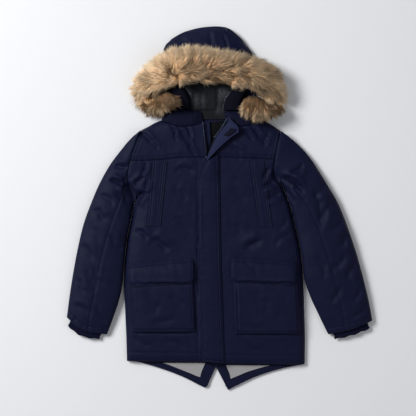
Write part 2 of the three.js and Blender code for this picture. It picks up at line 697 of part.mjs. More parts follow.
// ---- sleeves ----------------------------------------------------------------------------
// Round a sleeve: step 0 is its outer fold, then over the top to the inner fold and back below.
function sleevePlace(table, armhole, end, side) {
  const clearance = (v) =>
    mix(UNDERARM_CLEARANCE, BODY_CLEARANCE, smooth((v - 0.05) / 0.15)) * smooth(v / 0.04);
  const inner = (v) => curve(table, "innerX", "innerY")(v)
    .add(new THREE.Vector2(side * clearance(v), 0));
  return (step, v, inset) => {
    const turn = ((step % SLEEVE_RING) + SLEEVE_RING) % SLEEVE_RING;
    const onTop = turn <= SLEEVE_RING / 2;
    const t = onTop ? (2 * turn) / SLEEVE_RING : 2 - (2 * turn) / SLEEVE_RING;
    const even = (1 - Math.cos(Math.PI * t)) / 2;
    const seamStep = (1 - Math.cos((2 * Math.PI * FRONT_SEAM_STEP) / SLEEVE_RING)) / 2;
    const seam = lookUp(sleeveShape, "along", v, "seam");
    const skewed = onTop ? even ** (Math.log(seam) / Math.log(seamStep)) : even;
    const w = mix(0.5, skewed, 1 - (2 * inset) / 130);
    const outer = curve(table, "outerX", "outerY");
    const seamPlace = mix(0.5, t, 1 - (2 * inset) / 200);
    const top = curve(armhole)(seamPlace);
    const next = curve(armhole)(Math.min(1, seamPlace + 0.02));
    const run = next.sub(curve(armhole)(seamPlace - 0.02)).normalize();
    top.addScaledVector(new THREE.Vector2(-side * run.y, side * run.x), 1.8 * SEAM_GAP);
    const fromArmhole = top.clone().sub(outer(0).lerp(inner(0), w));
    const fromEnd = curve(end)(w).sub(outer(1).lerp(inner(1), w));
    const reach = mix(ARMHOLE_REACH, UNDERARM_REACH, smooth((t - 0.7) / 0.2));
    const place = outer(v).lerp(inner(v), w)
      .addScaledVector(fromArmhole, 1 - smooth(v / reach))
      .addScaledVector(fromEnd, smooth((v - 0.75) / 0.25));
    return { place, top, onTop, round: 2 * Math.sqrt(Math.max(0, skewed * (1 - skewed))) };
  };
}

function sleevePiece(name, table, armhole, end, side, from, to) {
  const at = sleevePlace(table, armhole, end, side);
  const heights = (spot, v) => {
    const blend = smooth(v / SLEEVE_BLEND);
    const height = lookUp(sleeveShape, "along", v, "height");
    const middle = mix(middleZ(spot.top.x, spot.top.y), height * 0.4, blend);
    const { x, y } = spot.top;
    const top = mix(frontTop(x, y), middle + (height - middle) * spot.round ** 0.8, blend);
    const bottom = mix(backBottom(x, y), middle * (1 - spot.round ** 0.35), blend);
    return { middle, top, bottom };
  };
  const outside = (step, v) => {
    const spot = at(step, v, 0);
    const { top, bottom } = heights(spot, v);
    return new THREE.Vector3(spot.place.x, spot.place.y, spot.onTop ? top : bottom);
  };
  const lining = (step, v) => {
    const spot = at(step, v, SLEEVE_WALL);
    const { middle } = heights(spot, v);
    const mouth = smooth((v - 0.93) / 0.04);
    const away = mix(LAY_GAP * 0.8, RIB_HEIGHT / 2 + 1.9, mouth) * spot.round ** mix(1, 0.5, mouth);
    return new THREE.Vector3(spot.place.x, spot.place.y, middle + (spot.onTop ? away : -away));
  };
  const round = steps(to - from, from, to);
  const ends = drawnIn(round, 14);
  const rows = table.length - 1;
  const along = drawnIn([0, 0.05, ...steps(rows - 4, 1 / rows, 0.8), 0.93, 0.97, 1], 560, SEAM_GAP);
  return wall(name, NAVY, ends, along, outside, lining);
}

// ---- knitted cuffs ----------------------------------------------------------------------
// A flattened tube that comes out of the sleeve end.
function ribCuff(name, end) {
  const ROUND_STEPS = 14;
  const line = curve(end);
  const width = line(0).distanceTo(line(1));
  const sleeveHeight = sleeveShape[sleeveShape.length - 1].height;
  const axis = line(1).sub(line(0)).normalize();
  const out = new THREE.Vector2(axis.y, -axis.x);
  if (out.y > 0) out.negate();
  const rings = [
    { along: -RIB_TUCK, wall: 0 },
    { along: RIB_REACH, wall: 0 },
    { along: RIB_REACH, wall: RIB_WALL },
    { along: -RIB_TUCK, wall: RIB_WALL },
  ];
  const points = rings.flatMap((ring) => steps(ROUND_STEPS - 1, 0, 1 - 1 / ROUND_STEPS).map((turn) => {
    const angle = 2 * Math.PI * turn;
    const reach = 1 - (2 * (RIB_INSET + ring.wall)) / width;
    const spot = line(0.5 - 0.5 * reach * Math.cos(angle)).addScaledVector(out, ring.along);
    const half = ring.wall > 0 ? LAY_GAP * 0.7 : RIB_HEIGHT / 2;
    const lift = Math.sign(Math.sin(angle)) * Math.abs(Math.sin(angle)) ** 0.9;
    return new THREE.Vector3(spot.x, spot.y, sleeveHeight * 0.4 + half * lift);
  }));
  const faces = [];
  for (let r = 0; r < rings.length; r += 1) {
    for (let k = 0; k < ROUND_STEPS; k += 1) {
      const next = (k + 1) % ROUND_STEPS;
      const ring = r * ROUND_STEPS;
      const nextRing = ((r + 1) % rings.length) * ROUND_STEPS;
      faces.push([ring + k, ring + next, nextRing + next], [ring + k, nextRing + next, nextRing + k]);
    }
  }
  return solid(name, NAVY_RIB, points, faces);
}

// ---- storm flap and zip -----------------------------------------------------------------

function stormFlapStrip() {
  const place = strip(stormFlap, "free", "sewn");
  const lift = (u, v) => {
    const { x, y } = place(u, v);
    const away = Math.hypot(x - ZIP_SLIDER.x, (y - ZIP_SLIDER.y - 6) / 1.6);
    const overZip = FLAP_ARCH * Math.sin(Math.PI * v) ** 0.5;
    return LAY_GAP + overZip + SLIDER_ARCH * (1 - smooth((away - 9) / 26));
  };
  const up = [0, HEM_STEP, ...steps(4, 0.15, 0.7), 0.76, 0.82, 0.88, 0.94, 1];
  return laidOn("storm_flap", NAVY, up, [0, 0.08, 0.5, 0.92, 1], place,
    (u, v) => mix(FLAP_EDGE, FLAP_THICKNESS, bulge(Math.min(v, 1 - v) / 0.12)), lift);
}

const turnedPlace = strip(turnedFlap, "fold", "free");
// It rises from the fold to its free edge, and starts on top of the closed flap.
const turnedLift = (u, v) => {
  const atFold = 2.6 + 6 * (1 - smooth(u / 0.12));
  return mix(atFold, column(turnedFlap, "lift", u), bulge(v / 0.7));
};

function stormFlapTop() {
  return laidOn("storm_flap_turned_top", NAVY_INSIDE, steps(8), steps(3), turnedPlace,
    () => TURNED_THICKNESS, turnedLift);
}

// Hook tape sewn on the inner face of the flap, which is turned up.
function hookTapePatch() {
  const { fromU, toU, fromV, toV } = hookTape;
  const lift = (u, v) => turnedLift(u, v) + TURNED_THICKNESS + LAY_GAP;
  return laidOn("hook_tape_patch", HOOK_TAPE, steps(3, fromU, toU), steps(2, fromV, toV), turnedPlace,
    () => HOOK_TAPE_THICKNESS, lift);
}

function closedZip() {
  const edge = byHeight(zipRight, zipRight[0].y + HEM_ROUND, ZIP_SLIDER.y - ZIP_SLIDER.length);
  const place = (u, v) => edge(u).add(new THREE.Vector2((v - 0.4) * ZIP_WIDTH, 0));
  return laidOn("zip_closed", ZIP_TAPE, [0, 0.1, ...steps(5, 0.22)], steps(1), place, () => ZIP_THICKNESS);
}

// The open halves of the zip, from the slider to the neck.
function openZipRight() {
  const edge = byHeight(zipRight, OPEN_ZIP_FROM, zipRight[zipRight.length - 1].y);
  const place = (u, v) => edge(u).add(new THREE.Vector2(mix(SEAM_GAP, OPEN_ZIP_WIDTH.right, v), 0));
  return panel("zip_open_right", ZIP_TAPE, steps(6), steps(1), place,
    (x, y) => frontTop(x, y) - 2, (x, y) => frontTop(x, y) - 6);
}

function openZipLeft() {
  const edge = byHeight(zipLeft, OPEN_ZIP_FROM - 3, NECK_Y);
  const place = (u, v) => edge(u).add(new THREE.Vector2(mix(0.5, OPEN_ZIP_WIDTH.left, v), 0));
  return laidOn("zip_open_left", ZIP_TAPE, steps(6), steps(1), place, () => ZIP_THICKNESS - LAY_GAP);
}

function zipSlider() {
  const { x, y, width, length, height } = ZIP_SLIDER;
  const geometry = new THREE.BoxGeometry(width, length, height);
  geometry.deleteAttribute("uv");
  const mesh = new THREE.Mesh(geometry, SLIDER);
  mesh.position.set(x, y, frontTop(x, y) + LAY_GAP + height / 2);
  mesh.name = "zip_slider";
  return mesh;
}

function windFlap() {
  const inner = byHeight(zipRight, windFlapEdge[0].y, zipRight[zipRight.length - 1].y);
  const place = (u, v) => inner(u).add(new THREE.Vector2(1, 0)).lerp(curve(windFlapEdge)(u), v);
  return panel("wind_flap", NAVY_INSIDE, steps(5), steps(2), place,
    (x, y) => middleZ(x, y) + 7, (x, y) => middleZ(x, y) + 2.3);
}

// The lining of the back, seen inside the open neck.
function neckLining() {
  const right = byHeight(zipRight, OPEN_ZIP_FROM, zipRight[zipRight.length - 1].y);
  const left = byHeight(zipLeft, OPEN_ZIP_FROM, NECK_Y - 1);
  const place = (u, v) => right(u).lerp(left(u), mix(0.02, 0.98, v));
  return panel("neck_lining", NECK_LINING, steps(5), steps(2), place,
    (x, y) => middleZ(x, y) + 1.6, (x, y) => middleZ(x, y) + 0.3);
}

// ---- pockets ----------------------------------------------------------------------------
const rimmed = (u, v, lengthU, lengthV, reach) =>
  bulge((Math.min(u, 1 - u) * lengthU) / reach) * bulge((Math.min(v, 1 - v) * lengthV) / reach);

function chestWelt(name, corners) {
  return laidOn(name, NAVY, [0, 0.12, 0.88, 1], steps(7), quad(corners),
    () => WELT_THICKNESS, () => POCKET_GAP);
}

function pocketBag(name, corners) {
  const across = [0, 0.02, 0.06, 0.2, 0.5, 0.8, 0.94, 0.98, 1];
  const down = [0, 0.06, 0.36, 0.66, 0.94, 1];
  const depth = (u, v) => mix(2.5, BAG_DEPTH, rimmed(u, v, 178, 170, 10));
  return laidOn(name, NAVY, across, down, quad(corners), depth, () => POCKET_GAP);
}

function pocketFlap(name, corners) {
  const across = [0, 0.03, 0.1, 0.3, 0.6, 0.9, 0.97, 1];
  const down = [0, 0.1, 0.3, 0.5, 0.7, 0.86, 1];
  const CORNER = 0.2;
  const rounded = (u, v) => {
    const fromEdge = Math.min(u, 1 - u) / 0.07;
    const cut = fromEdge < 1 ? CORNER * (1 - bulge(fromEdge)) * v : 0;
    return quad(corners)(u, v * (1 - cut));
  };
  const lift = (u, v) => mix(POCKET_GAP * 1.2, BAG_DEPTH + 2.4, smooth(v / 0.42));
  const depth = (u, v) => mix(2.2, FLAP_THICKNESS, rimmed(u, v, 180, 68, 8));
  return laidOn(name, NAVY, across, down, rounded, depth, lift);
}

// ---- tail -------------------------------------------------------------------------------
function tailFacing(name, table) {
  return panel(name, NAVY_INSIDE, steps(14), [0, 1], strip(table, "outer", "inner"),
    (x, y) => backTop(x, y) + SEAM_GAP + FACING_THICKNESS, (x, y) => backTop(x, y) + SEAM_GAP);
}

// The lining inside the facing: a triangle whose long side runs along the hem of the fronts.
function tailLining(name, table) {
  const POINT = 4 / 7; // the fourth step of the facing's table is the tip of the tail
  const inner = curve(table, "innerX", "innerY");
  const bottom = (u) => inner(u * POINT);
  const end = (v) => inner(mix(1, POINT, v));
  const top = (u) => inner(0).lerp(inner(1), u).add(new THREE.Vector2(0, -0.8 * u));
  const place = patch(top, bottom, () => inner(0), end);
  return panel(name, TAIL_LINING, steps(7, 0.08, 0.98), steps(3, 0, 0.89), place,
    (x, y) => backTop(x, y) + SEAM_GAP + FACING_THICKNESS, (x, y) => backTop(x, y) + SEAM_GAP);
}

// ---- hood and collar --------------------------------------------------------------------
function hoodInside(x, y, reach) {
  let nearest = Infinity;
  for (let i = 0; i < hoodOutline.length - 1; i += 1) {
    nearest = Math.min(nearest, segmentDistance(x, y, hoodOutline[i], hoodOutline[i + 1]));
  }
  return bulge(nearest / reach);
}

function hoodBack() {
  const last = hoodOutline.length - 1;
  const outline = curve(hoodOutline);
  const start = (v) => outline(v * (3 / last));
  const end = (v) => outline(1 - v * (2 / last));
  const bottom = (u) => new THREE.Vector2(mix(hoodOutline[0].x, hoodOutline[last].x, u), hoodOutline[0].y);
  const crown = (u) => outline(mix(3 / last, 1 - 2 / last, u));
  const place = patch(bottom, crown, start, end);
  const across = [0, 0.02, 0.07, 0.18, 0.5, 0.82, 0.93, 0.98, 1];
  const up = [0, 0.15, 0.35, 0.55, 0.75, 0.88, 0.95, 0.985, 1];
  const lower = (x, y) => 5 * (1 - hoodInside(x, y, BACK_ROUND));
  return panel("hood_back", NAVY, across, up, place,
    (x, y) => mix(6.5, HOOD_BACK_TOP, hoodInside(x, y, BACK_ROUND)), lower);
}

function hoodPanel(name, from, to, count) {
  const place = strip(hoodFront, "edge", "crown");
  const upper = (x, y) => mix(9.6, HOOD_TOP, hoodInside(x, y, HOOD_ROUND));
  const lower = (x, y, u, v) =>
    mix(8.4, HOOD_BACK_TOP + 2 * LAY_GAP, hoodInside(x, y, BACK_ROUND))
    + HOOD_MOUTH_LIFT * (1 - smooth(v / 0.5)) * bulge(Math.min(u, 1 - u) / 0.2);
  const up = [0, 0.15, 0.35, 0.55, 0.75, 0.9, 0.97, 1];
  return panel(name, NAVY, drawnIn(steps(count, from, to), 250), up, place, upper, lower);
}

function hoodLiningPiece() {
  return panel("hood_lining_fleece", FLEECE, steps(5), steps(3), strip(hoodLining, "right", "left"),
    () => HOOD_BACK_TOP + LAY_GAP + FLEECE_THICKNESS, () => HOOD_BACK_TOP + LAY_GAP);
}

function hoodEdge(name, table) {
  const top = (x, y, u, v) => mix(COLLAR_BOTTOM + 4, HOOD_EDGE_TOP, bulge(Math.min(v, 1 - v) / 0.27));
  return panel(name, NAVY, drawnIn(steps(6), 60), [0, 0.12, 0.5, 0.88, 1], strip(table, "outer", "inner"),
    top, () => COLLAR_BOTTOM);
}

// A half of the collar, from the neck seam up; it lies over the fleece.
function collar(name, neck, topEdge) {
  const from = NECK_STEPS[0];
  const place = (u, v) => curve(neck)(u).lerp(curve(topEdge)((u - from) / (1 - from)), v);
  const atEnds = (u) => bulge((1 - Math.abs((2 * (u - from)) / (1 - from) - 1)) / 0.1);
  const rise = (u, v) => bulge((1 - v) / 0.4) * atEnds(u);
  const up = drawnIn([0, 0.25, 0.6, 0.8, 0.93, 1], 28, SEAM_GAP);
  return panel(name, NAVY, drawnIn(NECK_STEPS, 120), up, place,
    (x, y, u, v) => mix(COLLAR_BOTTOM + 3, COLLAR_TOP, rise(u, v)), () => COLLAR_BOTTOM);
}

// ---- fur --------------------------------------------------------------------------------
function fur(name, table, count) {
  const place = strip(table, "outer", "inner");
  const base = (x, y, u) => Math.max(0, column(table, "base", u));
  const atEnds = (u) => mix(0.55, 1, bulge(Math.min(u, 1 - u) / 0.1));
  const pile = (x, y, u, v) =>
    base(x, y, u) + FUR_EDGE + FUR_LENGTH * Math.sin(Math.PI * v) ** 0.7 * atEnds(u);
  return panel(name, FUR, steps(count), [0, 0.08, 0.25, 0.5, 0.75, 0.92, 1], place, pile, base);
}

// ---- the parka --------------------------------------------------------------------------
const group = new THREE.Group();
group.add(
  backHalf("back_right", rightEdge, neckRight, tailRight, ventRight),
  backHalf("back_left", leftEdge, neckLeft, tailLeft, ventLeft),
  front("front_right", rightEdge, yokeSeamRight, zipRight, hemRight),
  front("front_left", leftEdge, yokeSeamLeft, zipLeft, hemLeft),
  yoke("yoke_right", armholeRight, neckRight, yokeSeamRight, zipRight),
  yoke("yoke_left", armholeLeft, neckLeft, yokeSeamLeft, zipLeft),
);

for (const { side, table, armhole, end, sign } of [
  { side: "right", table: sleeveRight, armhole: armholeRight, end: sleeveEndRight, sign: -1 },
  { side: "left", table: sleeveLeft, armhole: armholeLeft, end: sleeveEndLeft, sign: 1 },
]) {
  const topFrom = BACK_SEAM_STEP - SLEEVE_RING;
  group.add(
    sleevePiece(`sleeve_${side}_top`, table, armhole, end, sign, topFrom, FRONT_SEAM_STEP),
    sleevePiece(`sleeve_${side}_under`, table, armhole, end, sign, FRONT_SEAM_STEP, BACK_SEAM_STEP),
    ribCuff(`rib_cuff_${side}`, end),
  );
}

group.add(
  stormFlapStrip(),
  stormFlapTop(),
  hookTapePatch(),
  closedZip(),
  openZipRight(),
  openZipLeft(),
  zipSlider(),
  windFlap(),
  chestWelt("chest_welt_right", chestWeltRight),
  chestWelt("chest_welt_left", chestWeltLeft),
  pocketBag("cargo_bag_right", pocketBagRight),
  pocketBag("cargo_bag_left", pocketBagLeft),
  pocketFlap("cargo_flap_right", pocketFlapRight),
  pocketFlap("cargo_flap_left", pocketFlapLeft),
  tailFacing("tail_facing_right", facingRight),
  tailFacing("tail_facing_left", facingLeft),
  tailLining("tail_lining_right", facingRight),
  tailLining("tail_lining_left", facingLeft),
  hoodBack(),
  hoodPanel("hood_side_right", 0, HOOD_SEAM_RIGHT, 5),
  hoodPanel("hood_centre", HOOD_SEAM_RIGHT, HOOD_SEAM_LEFT, 4),
  hoodPanel("hood_side_left", HOOD_SEAM_LEFT, 1, 5),
  hoodLiningPiece(),
  hoodEdge("hood_edge_right", hoodEdgeRight),
  hoodEdge("hood_edge_left", hoodEdgeLeft),
  collar("collar_right", neckRight, collarTopRight),
  collar("collar_left", neckLeft, collarTopLeft),
  neckLining(),
  fur("fur_trim", furArch, 16),
  fur("fur_trim_end_right", furEndRight, 8),
  fur("fur_trim_end_left", furEndLeft, 6),
);

export default group;
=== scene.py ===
"""A child's padded hooded parka laid flat on its back: each visible piece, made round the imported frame.

Tables and shape functions work in millimetres, as a pattern cutter does; meshes are written in metres.
+X is the wearer's left, +Y the hood, +Z up from the surface that the parka lies on.
"""

import math
from collections import namedtuple

import bmesh
import bpy
import numpy as np
from bpy.props import FloatProperty, FloatVectorProperty, IntProperty, PointerProperty
from mathutils import Matrix, Vector
from mathutils.bvhtree import BVHTree


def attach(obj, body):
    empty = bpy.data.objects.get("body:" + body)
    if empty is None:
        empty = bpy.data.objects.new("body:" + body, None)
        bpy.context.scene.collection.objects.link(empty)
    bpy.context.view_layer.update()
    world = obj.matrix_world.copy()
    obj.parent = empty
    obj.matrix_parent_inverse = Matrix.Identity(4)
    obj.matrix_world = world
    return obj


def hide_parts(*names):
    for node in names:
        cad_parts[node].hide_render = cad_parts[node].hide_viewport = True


bl_info = {
    "name": "Laid-Out Parka",
    "version": (1, 0, 0),
    "blender": (4, 5, 0),
    "location": "3D View > Sidebar > Parka",
    "description": "Makes a padded hooded parka that lies flat, piece by piece",
    "category": "Add Mesh",
}

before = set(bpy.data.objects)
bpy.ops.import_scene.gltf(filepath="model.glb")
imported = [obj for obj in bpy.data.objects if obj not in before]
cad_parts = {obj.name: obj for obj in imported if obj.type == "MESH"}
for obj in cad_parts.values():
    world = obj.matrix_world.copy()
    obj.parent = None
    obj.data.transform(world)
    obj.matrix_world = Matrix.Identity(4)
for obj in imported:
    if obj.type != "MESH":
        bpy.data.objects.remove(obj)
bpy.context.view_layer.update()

MM = 0.001
WELD = 0.02 * MM

# ---- sizes that follow the pattern, in millimetres ------------------------------------------

Point = namedtuple("Point", "x y")
Edges = namedtuple("Edges", "outer_x outer_y inner_x inner_y")

# Armholes from the shoulder point to the underarm.
ARMHOLE = {
    "right": [
        Point(*row) for row in (
            (-216, 216), (-228, 187), (-238, 160), (-246, 133), (-251, 113), (-254, 94), (-252, 73),
            (-243, 51), (-230, 31),
        )
    ],
    "left": [
        Point(*row) for row in (
            (169, 213), (163, 187), (157, 160), (152, 134), (149, 117), (148, 101), (150, 89), (156, 79),
            (169, 69),
        )
    ],
}
# The two folded edges of each sleeve, from the body to the sleeve's end.
SLEEVE = {
    "right": [
        Edges(*row) for row in (
            (-216, 216, -230, 31), (-246, 191, -236, 4), (-275, 157, -243, -30), (-303, 119, -252, -68),
            (-330, 71, -258, -112), (-353, 18, -263, -160), (-376, -46, -267, -211),
            (-395, -128, -277, -257), (-411, -220, -293, -302), (-422, -301, -311, -348),
        )
    ],
    "left": [
        Edges(*row) for row in (
            (169, 213, 169, 69), (195, 194, 181, 42), (222, 170, 194, 8), (256, 130, 206, -38),
            (299, 62, 218, -90), (330, 7, 226, -140), (363, -79, 233, -196), (389, -164, 250, -246),
            (410, -248, 275, -298), (422, -310, 300, -348),
        )
    ],
}
SLEEVE_END = {
    "right": [Point(-422, -301), Point(-376, -336), Point(-311, -348)],
    "left": [Point(422, -310), Point(362, -334), Point(300, -348)],
}
SIDE = {"right": -1, "left": 1}
# Where the outline of a solid turns from one edge to the next: top left, bottom left, bottom right and
# top right. Solids that aren't named turn at the places furthest out.
CORNERS = {
    "back_right": [(-216, 216), (-256, -422), (-10, -438), (-20, 243)],
    "back_left": [(-20, 243), (-10, -438), (235, -431), (169, 213)],
    "yoke_right": [(-216, 216), (-246, 133), (-37, 140), (-47, 235)],
    "yoke_left": [(15, 243), (-35, 140), (152, 134), (169, 213)],
    "storm_flap_turned_top": [(27, 249), (24, 252), (-37, 130), (-33, 133)],
    "tail_facing_right": [(-160, -427), (-215, -427), (-13, -439), (-37, -427)],
    "tail_facing_left": [(15, -433), (-5, -440), (195, -436), (142, -434)],
    "tail_lining_right": [(-157, -427), (-151, -429), (-56, -467), (-40, -427)],
    "tail_lining_left": [(17, -433), (31, -471), (132, -436), (138, -434)],
    "collar_right": [(-149, 265), (-161, 243), (-47, 235), (-51, 268)],
    "collar_left": [(12, 267), (15, 243), (117, 243), (98, 254)],
    "hood_edge_right": [(-136, 326), (-118, 281), (-79, 272), (-108, 341)],
    "hood_edge_left": [(52, 334), (12, 270), (60, 272), (82, 328)],
    "fur_trim_end_right": [(-217, 306), (-219, 289), (-113, 283), (-115, 308)],
    "fur_trim_end_left": [(60, 285), (60, 264), (176, 268), (172, 288)],
    "fur_trim": [(-238, 314), (-190, 302), (164, 294), (181, 300)],
}
FAR_CORNERS = [(-9e3, 9e3), (-9e3, -9e3), (9e3, -9e3), (9e3, 9e3)]

# ---- numbers and curves -----------------------------------------------------------------------


def mix(a, b, t):
    return a + (b - a) * t


def clamp(t):
    return np.clip(t, 0.0, 1.0)


def smooth(t):
    return clamp(t) ** 2 * (3 - 2 * clamp(t))


def bulge(t):
    """A quarter circle: 0 at 0, steep at first, 1 from 1 on."""
    return np.sqrt(1 - (1 - clamp(t)) ** 2)


def lattice(ix, iy, seed):
    """A fixed value from 0 to 1 for each whole-numbered place."""
    value = np.sin(ix * 127.1 + iy * 311.7 + seed * 74.7) * 43758.5453
    return value - np.floor(value)


def noise(x, y, seed=0):
    """Smooth unevenness from -1 to 1, about one bump to each unit square."""
    ix, iy = np.floor(x), np.floor(y)
    fx, fy = smooth(x - ix), smooth(y - iy)
    near = mix(lattice(ix, iy, seed), lattice(ix + 1, iy, seed), fx)
    far = mix(lattice(ix, iy + 1, seed), lattice(ix + 1, iy + 1, seed), fx)
    return 2 * mix(near, far, fy) - 1


def column(table, name, t):
    """The smooth curve through one column of a table, at t from 0 to 1."""
    values = np.array([getattr(row, name) for row in table], float)
    padded = np.concatenate([[2 * values[0] - values[1]], values, [2 * values[-1] - values[-2]]])
    place = clamp(t) * (len(values) - 1)
    i = np.minimum(place.astype(int), len(values) - 2)
    f = place - i
    before, start, end, after = (padded[i + k] for k in range(4))
    rise, fall = (end - before) / 2, (after - start) / 2
    a = 2 * start - 2 * end + rise + fall
    b = 3 * end - 3 * start - 2 * rise - fall
    return ((a * f + b) * f + rise) * f + start


def line(table, t, x_name="x", y_name="y"):
    """Places on the smooth curve through a table's rows."""
    return np.stack([column(table, x_name, t), column(table, y_name, t)], axis=-1)


def reach_along(path):
    """Distance from the start of a path to each of its places."""
    return np.concatenate([[0], np.cumsum(np.hypot(*np.diff(path, axis=0).T))])


def at_reach(path, reach, distance):
    """Places at distances along a path."""
    return np.stack([np.interp(distance, reach, path[:, i]) for i in (0, 1)], axis=-1)


def groove(away, width):
    """A soft trough: 1 in its middle, 0 away from it."""
    return np.exp(-((away / width) ** 2))


def graded(length, fine, coarse, reach):
    """Steps from 0 to 1 over a length: fine ones near both ends, coarse ones between."""
    if length < 2 * reach + coarse:
        return np.linspace(0, 1, max(2, round(length / fine) + 1))
    edge = np.arange(0, reach, fine)
    middle = np.linspace(reach, length - reach, max(2, round((length - 2 * reach) / coarse) + 1))
    return np.concatenate([edge, middle, (length - edge)[::-1]]) / length


def nearest(x, y, path):
    """Distance from each place to a path, and the nearest place on the path."""
    a, run = path[:-1], path[1:] - path[:-1]
    length2 = np.maximum((run**2).sum(1), 1e-9)
    px, py = x.ravel(), y.ravel()
    best = np.full(px.shape, np.inf)
    spot = np.zeros((px.size, 2))
    for start in range(0, px.size, 4000):
        part = slice(start, start + 4000)
        dx, dy = px[part, None] - a[None, :, 0], py[part, None] - a[None, :, 1]
        t = clamp((dx * run[:, 0] + dy * run[:, 1]) / length2)
        ex, ey = dx - t * run[:, 0], dy - t * run[:, 1]
        distance = np.hypot(ex, ey)
        k = distance.argmin(1)
        rows = np.arange(len(k))
        best[part] = distance[rows, k]
        spot[part, 0] = px[part] - ex[rows, k]
        spot[part, 1] = py[part] - ey[rows, k]
    return best.reshape(x.shape), spot[:, 0].reshape(x.shape), spot[:, 1].reshape(x.shape)


# ---- creases of the laid-out cloth ------------------------------------------------------------

# From and to, how far the middle bows sideways, width and depth.
Fold = namedtuple("Fold", "x0 y0 x1 y1 bow width depth")
FOLDS = [
    Fold(*row) for row in (
        # drag lines from the neck over the right yoke
        (-133, 229, -118, 186, 1.7, 6, 3.3), (-116, 222, -66, 140, 2.8, 7, 3.9),
        (-92, 226, -78, 190, 1.1, 6, 2.4), (-220, 208, -184, 176, 3.3, 8, 3.3),
        (-184, 180, -168, 164, 1.1, 6, 2.4),
        # the right front beside the armhole, and below it
        (-203, 128, -214, 92, 1.7, 7, 3.6), (-199, 80, -206, 50, 1.7, 8, 3.9),
        (-206, 50, -228, 8, -2.8, 9, 4.2), (-236, 66, -208, 88, 2.2, 8, 3.6),
        (-244, 20, -190, 44, 3.3, 10, 3.3), (-191, -87, -138, -112, 3.3, 13, 3.6),
        (-232, -60, -196, -84, 2.8, 10, 3.3), (-128, 60, -92, 20, 3.3, 16, 1.8),
        (-120, -20, -80, -70, -3.9, 16, 1.7), (-120, 110, -72, 96, 2.8, 12, 2.7),
        # the left yoke and front
        (60, 222, 92, 186, 2.2, 7, 3.3), (88, 224, 126, 172, 3.3, 8, 3.3),
        (140, 208, 122, 176, -2.2, 8, 2.7), (30, 170, 62, 152, 2.2, 9, 2.7),
        (140, 110, 118, 78, -2.8, 9, 3.6), (152, 70, 118, 62, 2.2, 9, 3.9),
        (166, 40, 128, 24, 2.2, 10, 3.6), (70, -114, 117, -87, 2.8, 13, 3.9),
        (196, -70, 150, -96, -2.8, 11, 2.0), (30, 60, 72, 20, 3.3, 15, 1.7),
        (24, -30, 64, -66, -3.3, 15, 1.7), (188, -30, 160, -56, 2.2, 10, 1.8),
        # above the hem
        (-236, -352, -196, -386, 2.8, 13, 1.7), (-150, -356, -98, -392, 2.8, 14, 1.5),
        (62, -360, 112, -396, -2.8, 14, 1.5), (170, -362, 214, -392, 2.8, 13, 0.9),
        # the cargo pockets
        (-206, -232, -168, -290, 3.9, 17, 1.8), (-132, -232, -96, -268, -3.3, 14, 1.5),
        (-190, -322, -120, -306, 2.8, 12, 1.3), (88, -226, 140, -292, 4.4, 18, 2),
        (170, -230, 196, -284, 2.8, 13, 0.9), (62, -318, 128, -330, -2.8, 12, 1.3),
        (66, -146, 108, -182, 2.8, 12, 1.5), (-150, -150, -106, -186, 2.8, 12, 1.3),
        # the right sleeve: cap, bend above the elbow, forearm
        (-301, 81, -268, 66, 2.8, 8, 6.3), (-268, 66, -230, 40, 3.3, 9, 4.1),
        (-288, 44, -250, 20, 3.3, 12, 4.0), (-292, 120, -252, 112, -2.8, 11, 3.9),
        (-330, 40, -290, 10, 3.9, 12, 2.7), (-352, -6, -310, -34, 4.4, 13, 2.7),
        (-362, -40, -330, -92, 3.3, 14, 1.3), (-300, -70, -272, -120, -2.8, 11, 2.5),
        (-386, -100, -346, -140, 3.9, 13, 2.5), (-352, -160, -318, -214, -3.3, 13, 2.2),
        (-370, -170, -343, -226, 2.8, 11, 2.2), (-396, -190, -372, -236, 2.8, 11, 2.0),
        (-404, -262, -356, -288, 2.8, 9, 2.2), (-340, -270, -312, -312, -2.2, 9, 2.0),
        # the left sleeve: hollow below the armhole, bend, forearm
        (172, 88, 226, 58, 3.9, 10, 7.5), (206, 62, 232, 46, 2.8, 9, 3.8),
        (186, 60, 204, 16, -2.8, 9, 3.1), (230, 120, 196, 96, 2.8, 10, 4.2),
        (262, 50, 276, -60, 5, 13, 3.1), (304, 9, 282, -38, -3.3, 12, 2.7),
        (296, 60, 258, 30, 3.3, 12, 2.5), (345, -128, 304, -170, 3.9, 13, 2.7),
        (356, -70, 322, -110, 3.3, 12, 2.5), (340, -30, 300, -64, 2.8, 12, 2.3),
        (268, -130, 292, -196, 3.3, 12, 2.5), (378, -150, 352, -196, -2.8, 12, 2.2),
        (396, -216, 362, -256, 3.3, 11, 2.2), (330, -216, 306, -262, 2.8, 11, 2.0),
        (404, -280, 360, -300, 2.8, 9, 2.0),
        # the hood shell above the fur
        (42, 450, 84, 421, 2.2, 8, 2.7), (-60, 470, 20, 462, 2.8, 14, 1),
        (-130, 446, -96, 470, 2.2, 9, 2.1), (-96, 462, -74, 430, 2, 6, 2.0),
        (-30, 490, -22, 440, 3, 8, 1.6), (8, 478, 24, 432, 3, 6, 1.8), (60, 462, 96, 414, 3, 7, 2.2),
        # beside the storm flap, under the pocket flaps and round the bags
        (-60, 104, -59, -436, 0, 5, 1.9), (-238, -207, -76, -208, 0, 5, 2.2),
        (36, -204, 222, -206, 0, 5, 2.2), (-66, -216, -66, -338, 0, 4, 1.6),
        (-230, -344, -72, -344, 0, 4, 1.6), (47, -214, 50, -340, 0, 4, 1.6),
        (54, -347, 214, -347, 0, 4, 1.6),
        # the fleece inside the hood
        (-100, 331, -76, 295, 1.7, 5, 2.6), (-78, 338, -70, 262, 2.8, 6, 2.6),
        (-45, 336, -47, 268, -2.2, 6, 2.3), (-7, 338, -12, 262, 2.8, 6, 2.6),
        (22, 322, 6, 276, 2.2, 6, 2.4), (-84, 268, -8, 268, 1.7, 4, 2.6),
    )
]
